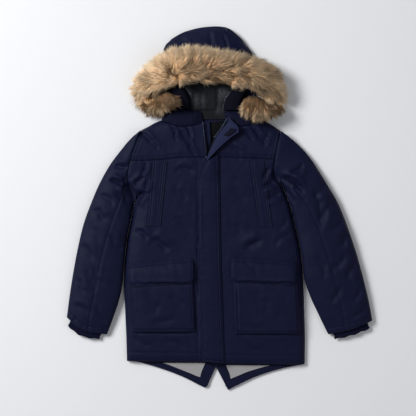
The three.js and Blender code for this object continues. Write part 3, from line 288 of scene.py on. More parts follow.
SHARPNESS = 0.66  # a crease's trough, as a share of its width
CREASE_GAIN = 1.7
RIDGE_SHARE = 0.55
WANDER = 0.35


def creases(x, y, scale):
    """Height that the creases add, in millimetres: a soft trough with a lower ridge beside it."""
    total = np.zeros_like(x)
    for fold in FOLDS:
        dx, dy = fold.x1 - fold.x0, fold.y1 - fold.y0
        length = math.hypot(dx, dy)
        t = ((x - fold.x0) * dx + (y - fold.y0) * dy) / length**2
        off = ((y - fold.y0) * dx - (x - fold.x0) * dy) / length - fold.bow * 4 * t * (1 - t)
        off = off + WANDER * fold.width * noise(t * length / 17, np.full_like(t, fold.x0), 7)
        fade = smooth((t + 0.12) / 0.4) * smooth((1.12 - t) / 0.4)
        width = SHARPNESS * fold.width
        trough = np.exp(-np.abs(off / width) ** 1.5)
        ridge = RIDGE_SHARE * groove(off - 2 * width, 1.4 * width)
        total += scale * CREASE_GAIN * fold.depth * fade * (ridge - trough)
    return total


def slackness(x, y):
    """The soft unevenness of padding, the same for all that lies above one place."""
    broad = 1.2 * noise(x / 62, y / 62, 1) + 0.65 * noise(x / 27 + 9, y / 27, 2)
    return broad + 0.25 * noise(x / 9, y / 9, 3)


def relief(x, y, scale=1.0):
    """All that the lie of the cloth adds to its height."""
    return creases(x, y, scale) + scale * slackness(x, y)


# ---- cloth solids of the frame, read as sheets ------------------------------------------------

SHARP_TURN = math.radians(38)
PATH_STEP = 3.0
INSET = 0.7  # heights are read this far inside an edge


def smooth_path(points):
    """A smooth line through points, with corners where it turns sharply."""
    runs = np.diff(points, axis=0)
    heading = np.unwrap(np.arctan2(runs[:, 1], runs[:, 0]))
    breaks = [0, *(np.flatnonzero(np.abs(np.diff(heading)) > SHARP_TURN) + 1), len(points) - 1]
    path = [points[:1]]
    for first, last in zip(breaks[:-1], breaks[1:]):
        part = points[first : last + 1]
        knots = reach_along(part)
        slopes = np.gradient(part, knots, axis=0)
        for i in range(len(part) - 1):
            length = knots[i + 1] - knots[i]
            t = np.linspace(0, 1, max(2, math.ceil(length / PATH_STEP) + 1))[1:, None]
            rise = (t**3 - 2 * t**2 + t) * length * slopes[i] + (t**3 - t**2) * length * slopes[i + 1]
            path.append(mix(part[i], part[i + 1], 3 * t**2 - 2 * t**3) + rise)
    return np.concatenate(path)


def relax(z, rounds):
    """Heights with their steps smoothed out; the corners stay."""
    z = z.copy()
    for _ in range(rounds):
        z[1:-1, :] = (z[:-2, :] + 2 * z[1:-1, :] + z[2:, :]) / 4
        z[:, 1:-1] = (z[:, :-2] + 2 * z[:, 1:-1] + z[:, 2:]) / 4
    return z


def solid_mesh(*nodes):
    """The solids of some CAD nodes in one mesh, in millimetres."""
    bm = bmesh.new()
    for node in nodes:
        bm.from_mesh(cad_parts[node].data)
    bmesh.ops.remove_doubles(bm, verts=bm.verts, dist=WELD)
    bmesh.ops.scale(bm, vec=(1 / MM, 1 / MM, 1 / MM), verts=bm.verts)
    bm.normal_update()
    return bm


def cast(tree, x, y, start, direction):
    """Height of the first surface met from above or below, filled in where there is none."""
    z = np.full(x.shape, np.nan)
    for place in np.ndindex(x.shape):
        hit = tree.ray_cast((x[place], y[place], start), (0, 0, direction))[0]
        if hit is not None:
            z[place] = hit.z
    while np.isnan(z).any():
        framed = np.pad(z, 1, constant_values=np.nan)
        around = np.stack([framed[:-2, 1:-1], framed[2:, 1:-1], framed[1:-1, :-2], framed[1:-1, 2:]])
        known = ~np.isnan(around)
        filled = np.where(known, around, 0).sum(0) / np.maximum(known.sum(0), 1)
        z = np.where(np.isnan(z) & known.any(0), filled, z)
    return z


class Wall:
    """A closed cloth solid of the frame: its outline as four edges, and its lower and upper surface."""

    def __init__(self, node):
        bm = solid_mesh(node)
        self.tree = BVHTree.FromBMesh(bm)
        outline = self.outline(bm)
        bm.free()
        at = [int(np.argmin(np.hypot(*(outline - np.array(place)).T)))
              for place in CORNERS.get(node, FAR_CORNERS)]
        left, bottom, right, top = (self.stretch(outline, at[i], at[(i + 1) % 4]) for i in range(4))
        self.edges = {"left": left[::-1], "bottom": bottom, "right": right, "top": top[::-1]}
        self.lengths = {name: np.hypot(*np.diff(path, axis=0).T).sum() for name, path in self.edges.items()}

    @staticmethod
    def outline(bm):
        """Places round the edge of the upper surface, counterclockwise."""
        after = {}
        for edge in bm.edges:
            for loop in edge.link_loops:
                others = [face for face in edge.link_faces if face is not loop.face]
                if loop.face.normal.z > 0.02 and others and others[0].normal.z <= 0.02:
                    after[loop.vert] = loop.link_loop_next.vert
        first = next(iter(after))
        ring = [first]
        while after[ring[-1]] is not first and len(ring) <= len(after):
            ring.append(after[ring[-1]])
        return np.array([vert.co.xy for vert in ring])

    @staticmethod
    def stretch(outline, first, last):
        count = (last - first) % len(outline)
        return smooth_path(outline[(first + np.arange(count + 1)) % len(outline)])

    def along(self, edge, t):
        path = self.edges[edge]
        reach = reach_along(path)
        return at_reach(path, reach, t * reach[-1])

    def place(self, u, v):
        """Places between the four edges, for steps u across and v up."""
        bottom, top = self.along("bottom", u)[None], self.along("top", u)[None]
        left, right = self.along("left", v)[:, None], self.along("right", v)[:, None]
        u, v = u[None, :, None], v[:, None, None]
        level = (self.edges["bottom"], self.edges["top"])
        corners = mix(*(mix(path[0], path[-1], u) for path in level), v)
        spots = mix(bottom, top, v) + mix(left, right, u) - corners
        return spots[..., 0], spots[..., 1]

    def ring(self):
        """The whole outline, counterclockwise."""
        edges = self.edges
        return np.concatenate([edges["bottom"], edges["right"], edges["top"][::-1], edges["left"][::-1]])

    def size(self):
        across = max(self.lengths["bottom"], self.lengths["top"])
        up = max(self.lengths["left"], self.lengths["right"])
        return across, up

    def heights(self, u, v, rounds):
        """The lower and upper surface over the steps."""
        across, up = self.size()
        inner_u = np.clip(u, INSET / across, 1 - INSET / across)
        inner_v = np.clip(v, INSET / up, 1 - INSET / up)
        x, y = self.place(inner_u, inner_v)
        low = cast(self.tree, x, y, -50, 1)
        top = cast(self.tree, x, y, 200, -1)
        return relax(low, rounds), relax(top, rounds)


# ---- pieces -----------------------------------------------------------------------------------

SHARP_EDGE = math.radians(60)
SKY = 0.2  # rays start this far above the floor, in metres
DOWN = (0, 0, -1)


def as_piece(name, mesh, material):
    """A finished mesh as a piece that rides on the body."""
    mesh.shade_smooth()
    mesh.materials.append(bpy.data.materials[material])
    piece = bpy.data.objects.new(name, mesh)
    bpy.context.scene.collection.objects.link(piece)
    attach(piece, "root")
    return piece


def add_piece(name, bm, material, nodes):
    """A piece that stands for some CAD nodes."""
    bmesh.ops.recalc_face_normals(bm, faces=bm.faces)
    mesh = bpy.data.meshes.new(name)
    bm.to_mesh(mesh)
    bm.free()
    piece = as_piece(name, mesh, material)
    mesh.set_sharp_from_angle(angle=SHARP_EDGE)
    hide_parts(*nodes)
    return piece


def surface(*pieces):
    """Finished pieces to cast rays at, in metres."""
    bm = bmesh.new()
    for piece in pieces:
        bm.from_mesh(bpy.data.objects[piece].data)
    tree = BVHTree.FromBMesh(bm)
    bm.free()
    return tree


def place_verts(bm, places):
    for vert, place in zip(bm.verts, places * MM):
        vert.co = place


def only_verts(geometry):
    return [item for item in geometry if isinstance(item, bmesh.types.BMVert)]


def shell(x, y, low, top):
    """A closed mesh between two height fields over one grid of places."""
    rows, columns = x.shape
    bm = bmesh.new()
    bmesh.ops.create_grid(bm, x_segments=columns - 1, y_segments=rows - 1, size=1.0)
    place_verts(bm, np.stack([x.ravel(), y.ravel(), low.ravel()], axis=1))
    spot = bm.verts.layers.int.new("spot")
    for i, vert in enumerate(bm.verts):
        vert[spot] = i
    made = bmesh.ops.extrude_face_region(bm, geom=bm.faces[:], use_keep_orig=True)["geom"]
    heights = top.ravel() * MM
    for vert in only_verts(made):
        vert.co.z = heights[vert[spot]]
    bm.verts.layers.int.remove(spot)
    return bm


def tube(rings):
    """A closed mesh through rings of places, with both ends filled."""
    rows, columns = rings.shape[:2]
    bm = bmesh.new()
    bmesh.ops.create_grid(bm, x_segments=columns, y_segments=rows - 1, size=1.0)
    looped = np.concatenate([rings, rings[:, :1]], axis=1)
    place_verts(bm, looped.reshape(-1, 3))
    verts = bm.verts[:]
    bmesh.ops.weld_verts(bm, targetmap=dict(zip(verts[columns :: columns + 1], verts[:: columns + 1])))
    ends = [edge for edge in bm.edges if edge.is_boundary]
    caps = bmesh.ops.holes_fill(bm, edges=ends, sides=0)["faces"]
    bmesh.ops.poke(bm, faces=caps)
    return bm


# How a sewn edge looks: how far the top dips to it and from how far away, how much it puckers, and
# the distances of its rows of stitching.
Seam = namedtuple("Seam", "dip reach pucker rows")
PLAIN_SEAM = Seam(4.5, 9.0, 0.7, ())
ROW_DEPTH = 1.4
ROW_WIDTH = 1.3
PUCKER_REACH = 12.0
PUCKER_LENGTH = 7.0
LEAST_THICKNESS = 0.5
THIN_ROW_DEPTH = 0.4
TAPE = 1.2  # thickness of tapes and of the wind flap
FINE_BAND = 13  # steps are fine this near an edge
THIN_FINE, THIN_BAND = 1.2, 4

rows_of_stitches = []


def padded_panel(node, seams, material="navy shell", fine=1.3, coarse=4.0, rounds=22, crease=1.0, lies=0.0,
                 flat_floor=False):
    """A padded panel on its solid: dips and puckers at the seams, and the creases of the cloth."""
    wall = Wall(node)
    u, v = (graded(length, fine, coarse, FINE_BAND) for length in wall.size())
    x, y = wall.place(u, v)
    low, top = wall.heights(u, v, rounds)
    for edge, seam in seams.items():
        away, spot_x, spot_y = nearest(x, y, wall.edges[edge])
        top -= seam.dip * (1 - bulge(away / seam.reach))
        puckers = noise(spot_x / PUCKER_LENGTH, spot_y / PUCKER_LENGTH, 5)
        top += seam.pucker * np.exp(-away / PUCKER_REACH) * puckers
        for row in seam.rows:
            top -= ROW_DEPTH * groove(away - row, ROW_WIDTH)
            rows_of_stitches.append((f"{node}_padded", wall.edges[edge], row))
    bump = relief(x, y, crease)
    top += bump
    low += lies * bump
    if flat_floor:
        low = np.maximum(low, 0)
    top = np.maximum(top, low + LEAST_THICKNESS)
    piece = add_piece(f"{node}_padded", shell(x, y, low, top), material, [node])
    return piece


def thin_sheet(node, material, step=2.5, rounds=6, crease=1.0,
               ripple=0.0, rows=(), thickness=None):
    """A thin piece of cloth that follows what it lies on; rows of stitching by edge and distance."""
    wall = Wall(node)
    u, v = (graded(length, THIN_FINE, step, THIN_BAND) for length in wall.size())
    x, y = wall.place(u, v)
    low, top = wall.heights(u, v, rounds)
    bump = relief(x, y, crease) + ripple * noise(x / 13, y / 13, 6)
    low, top = low + bump, top + bump
    if thickness:
        low = np.maximum(low, top - thickness)
    for edge, row in rows:
        away = nearest(x, y, wall.edges[edge])[0]
        top -= THIN_ROW_DEPTH * groove(away - row, ROW_WIDTH)
        rows_of_stitches.append((f"{node}_cloth", wall.edges[edge], row))
    low = np.maximum(low, 0)
    top = np.maximum(top, low + LEAST_THICKNESS)
    piece = add_piece(f"{node}_cloth", shell(x, y, low, top), material, [node])
    return piece


# ---- sleeves and cuffs ------------------------------------------------------------------------

# How high a sleeve stands along its length, and where its front seam runs from fold to fold.
SleeveShape = namedtuple("SleeveShape", "along height seam")
SLEEVE_SHAPE = [
    SleeveShape(0, 34, 0.69), SleeveShape(0.2, 38, 0.62), SleeveShape(0.45, 41, 0.54),
    SleeveShape(0.7, 39, 0.5), SleeveShape(0.9, 33, 0.55), SleeveShape(1, 27, 0.62),
]
SLEEVE_LENGTH, SLEEVE_WIDTH, ARMHOLE_LENGTH = 440, 130, 200  # rounded, to work out shares with
SLEEVE_STEPS = (1.3, 3.0)  # near its ends and between
# How the sleeve turns in at its end: place along it, inset, and how much of the outside's height is left.
TURNED_IN = ((0.999, 3.0, 0.55), (0.994, 6.0, 0.1), (0.975, 7.0, 0.0), (0.957, 7.0, 0.0))
OVER_COLUMNS, UNDER_COLUMNS = 85, 27
SLEEVE_BLEND = 0.22  # share of the length over which the armhole's shape becomes a tube
RAY_SPAN = (0.12, 0.88)  # heights nearer the folds are taken from these places
ROUNDING = 0.8
CLEARANCE = (2.5, 1.4)  # from the body, near the underarm and further on
BACK_TOP, BACK_EDGE = 6.45, 18  # the sleeve's underside starts on the back, whose edge is this round
FRONT_SEAM_DEPTH, FRONT_SEAM_WIDTH = 2.4, 3.2
END_DIP = 3.5
END_ROW = 15
FRONT_SEAM = 0.625  # place of the front seam on the sleeve's upper half, from fold to fold
MOUTH_Z = 0.4 * SLEEVE_SHAPE[-1].height
RIB_HALF = 5.5
RIB_REACH = 17.0
RIB_TUCK = 18.0
RIB_INSET = 13.0
RIB_PITCH = 4.2
RIB_DEPTH = 0.75
# The cuff's edge turns back inside: distance out of the sleeve, and how far in from the outside.
RIB_EDGE = ((RIB_REACH - 0.6, 0.5), (RIB_REACH, 1.6), (RIB_REACH - 0.8, 2.6), (RIB_REACH - 8, 3.0))


def look_up(table, value, name):
    """One column of a table whose rows say where along they are."""
    keys = [row.along for row in table]
    return column(table, name, np.interp(value, keys, np.linspace(0, 1, len(keys))))


def sleeve_place(side, t, on_top, v, inset=0.0):
    """Places on a sleeve: t from fold to fold, v from the armhole to the end; also the roundness."""
    sign = SIDE[side]
    table, armhole, end = SLEEVE[side], ARMHOLE[side], SLEEVE_END[side]
    even = (1 - np.cos(np.pi * t)) / 2
    seam_even = (1 - math.cos(math.pi * FRONT_SEAM)) / 2
    power = np.log(look_up(SLEEVE_SHAPE, v, "seam")) / math.log(seam_even)
    skewed = np.where(on_top, even**power, even)
    w = mix(0.5, skewed, 1 - 2 * inset / SLEEVE_WIDTH)
    seam_place = mix(0.5, t, 1 - 2 * inset / ARMHOLE_LENGTH)
    spot = line(armhole, seam_place)
    run = line(armhole, np.minimum(1, seam_place + 0.02)) - line(armhole, seam_place - 0.02)
    run /= np.linalg.norm(run, axis=-1, keepdims=True)
    spot = spot + 0.1 * sign * np.stack([-run[..., 1], run[..., 0]], axis=-1)
    clearance = mix(*CLEARANCE, smooth((v - 0.05) / 0.15)) * smooth(v / 0.04)
    outer, inner = line(table, v, "outer_x", "outer_y"), line(table, v, "inner_x", "inner_y")
    inner = inner + sign * clearance[..., None] * np.array([1.0, 0.0])
    w = w[..., None]
    first, last = table[0], table[-1]
    at_start = mix(np.array([first.outer_x, first.outer_y]), np.array([first.inner_x, first.inner_y]), w)
    last_inner = np.array([last.inner_x + sign * CLEARANCE[1], last.inner_y])
    at_end = mix(np.array([last.outer_x, last.outer_y]), last_inner, w)
    reach = mix(0.4, 0.05, smooth((t - 0.7) / 0.2))
    place = mix(outer, inner, w)
    place = place + (spot - at_start) * (1 - smooth(v / reach))[..., None]
    place = place + (line(end, w[..., 0]) - at_end) * smooth((v - 0.75) / 0.25)[..., None]
    return place[..., 0], place[..., 1], skewed, 2 * np.sqrt(np.maximum(0, skewed * (1 - skewed)))


def sleeve_nodes(side):
    """The solids that a sleeve stands for."""
    return [f"sleeve_{side}_top", f"sleeve_{side}_under"]


def sleeve_middle(t, v):
    """Height of a sleeve's folded sides, and how far it has become a full tube."""
    blend = smooth(v / SLEEVE_BLEND)
    at_armhole = mix(8.0, 13.0, bulge(np.minimum(t, 1 - t) / 0.25))
    return mix(at_armhole, 0.4 * look_up(SLEEVE_SHAPE, v, "height"), blend), blend


def sleeve_fullness(side, t, v):
    """Height of a sleeve's upper half over its folded sides, read from its solids."""
    bm = solid_mesh(*sleeve_nodes(side))
    tree = BVHTree.FromBMesh(bm)
    bm.free()
    middle, blend = sleeve_middle(t, v)
    inner_t = np.clip(t, *RAY_SPAN)
    ray_x, ray_y = sleeve_place(side, inner_t, True, np.clip(v, 0.003, 0.997))[:2]
    found = cast(tree, ray_x, ray_y, 200, -1)
    inner_round = sleeve_place(side, inner_t, True, v)[3]
    return relax((found - middle) / mix(1, inner_round**ROUNDING, blend), 16)


def sleeve_over(side, steps, over, crease):
    """The upper half of a sleeve, with its seams and creases."""
    t, v = np.meshgrid(over, steps)
    x, y, skewed, roundness = sleeve_place(side, t, True, v)
    middle, blend = sleeve_middle(t, v)
    top = middle + sleeve_fullness(side, t, v) * mix(1, roundness**ROUNDING, blend)
    fade = smooth(roundness / 0.7)
    top += relief(x, y, crease) * fade
    width = np.hypot(x[:, -1] - x[:, 0], y[:, -1] - y[:, 0])[:, None]
    off = (skewed - look_up(SLEEVE_SHAPE, v, "seam")) * width
    beside = noise(y / PUCKER_LENGTH, x / PUCKER_LENGTH, 4) * np.exp(-np.abs(off) / PUCKER_REACH)
    top += fade * (0.9 * beside - FRONT_SEAM_DEPTH * groove(off, FRONT_SEAM_WIDTH))
    armhole = line(ARMHOLE[side], np.linspace(0, 1, 80))
    away, spot_x, spot_y = nearest(x, y, armhole)
    top -= fade * END_DIP * (1 - bulge(away / 8))
    top += fade * 1.1 * np.exp(-away / 16) * noise(spot_x / 8, spot_y / 8, 8)
    end = line(SLEEVE_END[side], np.linspace(0, 1, 60))
    away, spot_x, spot_y = nearest(x, y, end)
    top -= END_DIP * (1 - bulge(away / 6)) + ROW_DEPTH * groove(away - END_ROW, ROW_WIDTH)
    top += groove(away - 11, 12) * noise(spot_x / 7, spot_y / 7, 9) * fade
    rows_of_stitches.append((f"sleeve_{side}_padded", end, END_ROW))
    top[:, 1:-1] = np.maximum(top[:, 1:-1], middle[:, 1:-1] + 0.4)
    return x, y, top


def sleeve_below(side, steps, under):
    """The lower half of a sleeve, flatter than the upper one."""
    t, v = np.meshgrid(under, steps)
    x, y, _, roundness = sleeve_place(side, t, False, v)
    middle, blend = sleeve_middle(t, v)
    at_body = BACK_TOP * (1 - bulge(np.minimum(t, 1 - t) * ARMHOLE_LENGTH / BACK_EDGE))
    return x, y, mix(at_body, middle * (1 - roundness**0.35), blend)


def make_sleeve(side, crease):
    """A padded sleeve: a tube whose end turns in round the cuff."""
    steps = graded(SLEEVE_LENGTH, *SLEEVE_STEPS, FINE_BAND)
    over = np.linspace(0, 1, OVER_COLUMNS)
    under = np.linspace(1, 0, UNDER_COLUMNS)[1:-1]
    halves = zip(sleeve_over(side, steps, over, crease), sleeve_below(side, steps, under))
    rings = np.stack([np.hstack(pair) for pair in halves], axis=-1)
    rings = np.concatenate([rings, sleeve_lining(side, over, under)])
    name = f"sleeve_{side}_padded"
    return add_piece(name, tube(rings), "navy shell", sleeve_nodes(side))


def sleeve_lining(side, over, under):
    """Rings that turn in at the sleeve's end and run back along the cuff."""
    t = np.concatenate([over, under])
    on_top = np.arange(len(t)) < len(over)
    rings = []
    for v, inset, share in TURNED_IN:
        steps = np.full(t.shape, v)
        x, y, _, roundness = sleeve_place(side, t, on_top, steps, inset)
        away = (RIB_HALF + 1.9) * roundness**0.5
        outside = np.where(on_top, 0.6 * SLEEVE_SHAPE[-1].height * roundness**ROUNDING, MOUTH_Z)
        z = MOUTH_Z + np.where(on_top, 1, -1) * mix(away, outside, share)
        rings.append(np.stack([x, y, z], axis=-1))
    return np.array(rings)


def make_cuff(side):
    """The part of a knitted cuff that shows, and what is tucked in the sleeve."""
    end = line(SLEEVE_END[side], np.linspace(0, 1, 3))
    width = np.hypot(*(end[2] - end[0]))
    axis = (end[2] - end[0]) / width
    out = np.array([axis[1], -axis[0]])
    out = out if out[1] < 0 else -out
    ribs = round(2 * (width - 2 * RIB_INSET) / RIB_PITCH)
    angle = np.linspace(0, 2 * np.pi, ribs * 6, endpoint=False)
    ribbing = RIB_DEPTH * np.cos(angle * ribs)
    outside = [(along, 0.0) for along in np.linspace(-RIB_TUCK, RIB_REACH - 2, 12)]
    rings = []
    for along, wall in (*outside, *RIB_EDGE):
        draw_in = 1.5 * smooth((along + 4) / 10) * (1 - smooth((along - 8) / 8))
        reach = (width / 2 - RIB_INSET - wall - draw_in + 0.4 * ribbing) / (width / 2)
        spot = line(SLEEVE_END[side], 0.5 - 0.5 * reach * np.cos(angle)) + out * along
        spot = spot + out * (1.2 * np.sin(4 * np.pi * reach * np.cos(angle)) * smooth(along / 10))[:, None]
        half = RIB_HALF * (1 - wall / 3.3) + (ribbing if wall < 2 else 0)
        lift = np.sign(np.sin(angle)) * np.abs(np.sin(angle)) ** 0.7 * half
        rings.append(np.column_stack([spot, MOUTH_Z + lift]))
    node = f"rib_cuff_{side}"
    piece = add_piece(f"{node}_knit", tube(np.array(rings)), "ribbed knit", [node])
    return piece


# ---- small repeated shapes --------------------------------------------------------------------


def repeated(name, template, places, material):
    """One mesh of many copies of a template; places holds each copy's vertices in millimetres."""
    bmesh.ops.triangulate(template, faces=template.faces[:])
    bmesh.ops.recalc_face_normals(template, faces=template.faces)
    template.verts.index_update()
    corners = np.array([[vert.index for vert in face.verts] for face in template.faces])
    template.free()
    count, size = places.shape[:2]
    faces = (corners[None] + size * np.arange(count)[:, None, None]).reshape(-1, 3)
    mesh = bpy.data.meshes.new(name)
    mesh.vertices.add(count * size)
    mesh.vertices.foreach_set("co", (places * MM).ravel().astype(np.float32))
    mesh.loops.add(faces.size)
    mesh.loops.foreach_set("vertex_index", faces.ravel().astype(np.int32))
    mesh.polygons.add(len(faces))
    mesh.polygons.foreach_set("loop_start", np.arange(0, faces.size, 3, dtype=np.int32))
    mesh.update(calc_edges=True)
    return as_piece(name, mesh, material)


def template_points(template):
    return np.array([vert.co[:] for vert in template.verts])


def set_on(template, origins, along, up):
    """Vertices of a template's copies: x runs along, z up."""
    along = along / np.linalg.norm(along, axis=1, keepdims=True)
    across = np.cross(up, along)
    across /= np.linalg.norm(across, axis=1, keepdims=True)
    up = np.cross(along, across)
    points = template_points(template)
    axes = np.stack([along, across, up], axis=1)
    return origins[:, None] + np.einsum("kj,njc->nkc", points, axes)


def stitch_template(length, thickness):
    """A stitch: a short thread that sinks at both ends."""
    bm = bmesh.new()
    bmesh.ops.create_cone(bm, cap_ends=True, segments=4, radius1=0.5, radius2=0.5, depth=1.0)
    bmesh.ops.rotate(bm, cent=(0, 0, 0), matrix=Matrix.Rotation(math.pi / 2, 3, "Y"), verts=bm.verts)
    middle = bmesh.ops.bisect_plane(bm, geom=bm.verts[:] + bm.edges[:] + bm.faces[:], plane_co=(0, 0, 0),
                                    plane_no=(1, 0, 0))["geom_cut"]
    bmesh.ops.scale(bm, vec=(length, thickness, thickness), verts=bm.verts)
    bmesh.ops.translate(bm, vec=(0, 0, 0.35 * thickness), verts=only_verts(middle))
    return bm


STITCH_PITCH = 3.6
STITCH_LENGTH = 2.7
STITCH_THICKNESS = 0.75
STITCH_LIFT = 0.12
LEAST_UPRIGHT = 0.45  # no stitches where the cloth is steeper than this
ROW_SLACK = 0.6  # a row that comes nearer another part of its edge than this stops there


def inner_line(path, row, piece_side):
    """Places along a row of stitching, at a distance to one side of an edge."""
    runs = np.gradient(path, axis=0)
    runs /= np.linalg.norm(runs, axis=1, keepdims=True)
    return path + piece_side * row * np.stack([-runs[:, 1], runs[:, 0]], axis=1)


def even_places(path, pitch):
    """Places along a path, this far apart."""
    reach = reach_along(path)
    return at_reach(path, reach, np.arange(pitch, reach[-1] - pitch / 2, pitch))


def make_stitches(name, rows):
    """Rows of stitching, dropped on the finished pieces: (piece, edge, distance)."""
    origins, along, up = [], [], []
    for piece, path, row in rows:
        tree = surface(piece)
        for side in (1, -1):
            places = even_places(inner_line(path, row, side), STITCH_PITCH)
            ahead = np.gradient(places, axis=0)
            for (x, y), (dx, dy) in zip(places, ahead):
                spot, normal, _, _ = tree.ray_cast((x * MM, y * MM, SKY), DOWN)
                if spot is None or normal.z < LEAST_UPRIGHT:
                    continue
                if nearest(np.array([x]), np.array([y]), path)[0][0] < row - ROW_SLACK:
                    continue
                origins.append(np.array(spot) / MM + STITCH_LIFT * np.array(normal))
                run = Vector((dx, dy, 0))
                along.append(np.array(run - normal * run.dot(normal)))
                up.append(np.array(normal))
    template = stitch_template(STITCH_LENGTH, STITCH_THICKNESS)
    places = set_on(template, np.array(origins), np.array(along), np.array(up))
    return repeated(name, template, places, "sewing thread")


TEETH = {"right": [(-47, 240), (-43, 200), (-36, 134)], "left": [(22, 249), (8, 226), (-16, 193)]}
TOOTH_PITCH = 2.6
TOOTH = (1.7, 2.4, 1.0)  # along the tape, across it and high
TOOTH_BEVEL = 0.3


def make_teeth(side):
    """Moulded teeth along the edge of an open zip tape."""
    places = even_places(smooth_path(np.array(TEETH[side], float)), TOOTH_PITCH)
    height = core_heights(surface(f"zip_open_{side}_cloth"), *places.T)
    height = np.where(height > 0, height, height.max()) + 0.5 * TOOTH[2]
    template = bmesh.new()
    bmesh.ops.create_cube(template, size=1.0)
    bmesh.ops.scale(template, vec=TOOTH, verts=template.verts)
    bmesh.ops.bevel(template, geom=template.edges[:], offset=TOOTH_BEVEL, segments=1, profile=0.5,
                    affect="EDGES", material=-1)
    ahead = np.column_stack([np.gradient(places, axis=0), np.zeros(len(places))])
    up = np.tile([0.0, 0.0, 1.0], (len(places), 1))
    spots = set_on(template, np.column_stack([places, height]), ahead, up)
    return repeated(f"zip_teeth_{side}", template, spots, "zip teeth")


# ---- fur --------------------------------------------------------------------------------------

# How the pile lies: heading in degrees from +X, length of the hair, and how light it is; the lightness
# holds the fur's own tone and painted shade in the valleys of the pile and on the two ends under the arch.
Lay = namedtuple("Lay", "x y angle length light")
LIE_OF_ARCH = [
    Lay(*row) for row in (
        (-235, 334, 202, 34, 0.9), (-224, 359, 170, 34, 0.85), (-216, 304, 240, 44, 0.85),
        (-208, 276, 250, 32, 0.8), (-202, 381, 150, 32, 0.85), (-194, 331, 217, 44, 0.7),
        (-186, 356, 148, 34, 0.45), (-186, 304, 256, 46, 0.5), (-172, 400, 125, 30, 0.9),
        (-164, 381, 128, 34, 0.8), (-164, 331, 258, 42, 0.35), (-158, 364, 116, 34, 0.3),
        (-158, 346, 246, 34, 0.3),
        (-142, 425, 108, 26, 0.95), (-136, 403, 100, 34, 0.85), (-131, 378, 90, 34, 0.6),
        (-136, 342, 262, 34, 0.5), (-103, 438, 97, 22, 1), (-98, 414, 92, 32, 0.9),
        (-98, 389, 80, 36, 0.65), (-98, 372, 76, 38, 0.4), (-106, 353, 280, 30, 0.5),
        (-59, 436, 84, 22, 1), (-54, 408, 72, 32, 0.9), (-54, 386, 48, 38, 0.65),
        (-54, 367, 34, 38, 0.35), (-59, 350, 318, 28, 0.4), (-10, 430, 66, 24, 1),
        (-4, 405, 55, 34, 0.85), (-4, 383, 35, 38, 0.6), (-4, 364, 8, 38, 0.3), (-15, 353, 345, 26, 0.5),
        (37, 422, 48, 26, 0.95), (45, 400, 40, 34, 0.8), (51, 378, 22, 38, 0.55),
        (45, 361, 355, 38, 0.3), (23, 345, 300, 24, 0.6), (43, 339, 272, 26, 0.95),
        (84, 408, 34, 28, 0.95), (92, 386, 22, 36, 0.75), (98, 364, 2, 38, 0.45),
        (67, 348, 330, 32, 0.4), (89, 334, 292, 40, 0.4), (107, 330, 282, 48, 0.3), (128, 394, 20, 30, 0.9),
        (136, 370, 2, 36, 0.7), (131, 342, 326, 44, 0.5), (122, 323, 290, 50, 0.4),
        (158, 375, 350, 32, 0.85), (164, 342, 338, 34, 0.75), (169, 309, 308, 46, 0.85),
        (183, 287, 322, 30, 0.9),
    )
]
LIE_OF_RIGHT_END = [
    Lay(*row) for row in (
        (-205, 279, 232, 30, 0.85), (-191, 265, 240, 28, 0.9), (-169, 271, 258, 28, 0.85),
        (-175, 298, 245, 26, 0.35), (-164, 309, 262, 26, 0.1), (-142, 312, 285, 26, 0.0),
        (-147, 290, 300, 26, 0.2), (-131, 282, 325, 26, 0.5), (-120, 298, 345, 24, 0.05),
        (-147, 268, 275, 24, 0.7), (-114, 284, 350, 22, 0.35),
    )
]
LIE_OF_LEFT_END = [
    Lay(*row) for row in (
        (73, 304, 245, 24, 0.1), (67, 282, 245, 26, 0.4), (84, 309, 260, 26, 0.0),
        (89, 282, 252, 30, 0.85), (95, 257, 258, 28, 0.95), (106, 298, 275, 28, 0.1),
        (117, 271, 285, 30, 0.8), (122, 251, 280, 26, 0.9), (133, 298, 300, 30, 0.1),
        (144, 276, 312, 32, 0.45), (150, 257, 305, 30, 0.8), (172, 287, 326, 30, 0.5),
        (177, 265, 322, 32, 0.85),
    )
]
# A layer of hair: how much, how thick, length as a share, rise in degrees, how much lighter, and how far
# it may reach out of the strip.
Hair = namedtuple("Hair", "count radius length rise light reach")
UNDERFUR = Hair(9500, 0.8, 0.8, 11, -0.4, -10)
GUARD_HAIR = Hair(11500, 0.64, 1.2, 5, 0.32, -5)
# A strip of fur: its share of the hair, how many layers it may have, how much darker it is painted as shade
# under the arch, how far its hair falls over what is below, and the strips that it lies over. The ends come
# before the arch.
Strip = namedtuple("Strip", "name node lie seed share layers dim bridge over")
STRIPS = (
    Strip("fur_end_right", "fur_trim_end_right", LIE_OF_RIGHT_END, 50, 0.26, 2, 0.5, 0.0, ()),
    Strip("fur_end_left", "fur_trim_end_left", LIE_OF_LEFT_END, 60, 0.26, 2, 0.7, 0.0, ()),
    Strip("fur_arch", "fur_trim", LIE_OF_ARCH, 40, 1.0, 4, 0.0, 34.0, ("fur_end_right", "fur_end_left")),
)
PATCH_SIZE = 34.0
LOCK_WIDTH = 6.5
LOCK_LENGTH = 22.0
LOCK_LIFT = 6.0
CORE_DRAW_IN = 0.1  # the dense pile is narrower and lower than the strip by these shares
CORE_HEIGHT = 0.72
BRIDGE_TOP = 336.0  # below this the arch's hair falls over the gap to the two ends
BRIDGE_HALF = 190  # it does so this far to both sides of the hood's middle
MIDDLE_X = -32
OVERHANG = (5.5, 17)  # how far tips stand out of the outline: usually and at most
ROOT_COLUMNS, ROOT_ROWS = 90, 40
CORE_COLUMNS, CORE_ROWS = 80, 22
BARE_RIM = 0.92  # no roots further out than this share of the half width
LAY_REACH, LAY_POWER = 90, 1.6  # how the rows of a table blend: squared distance in mm, and its power
SHORTER, SHORTENINGS = 0.84, 9  # hair that stands out too far is cut by this share, at most so often


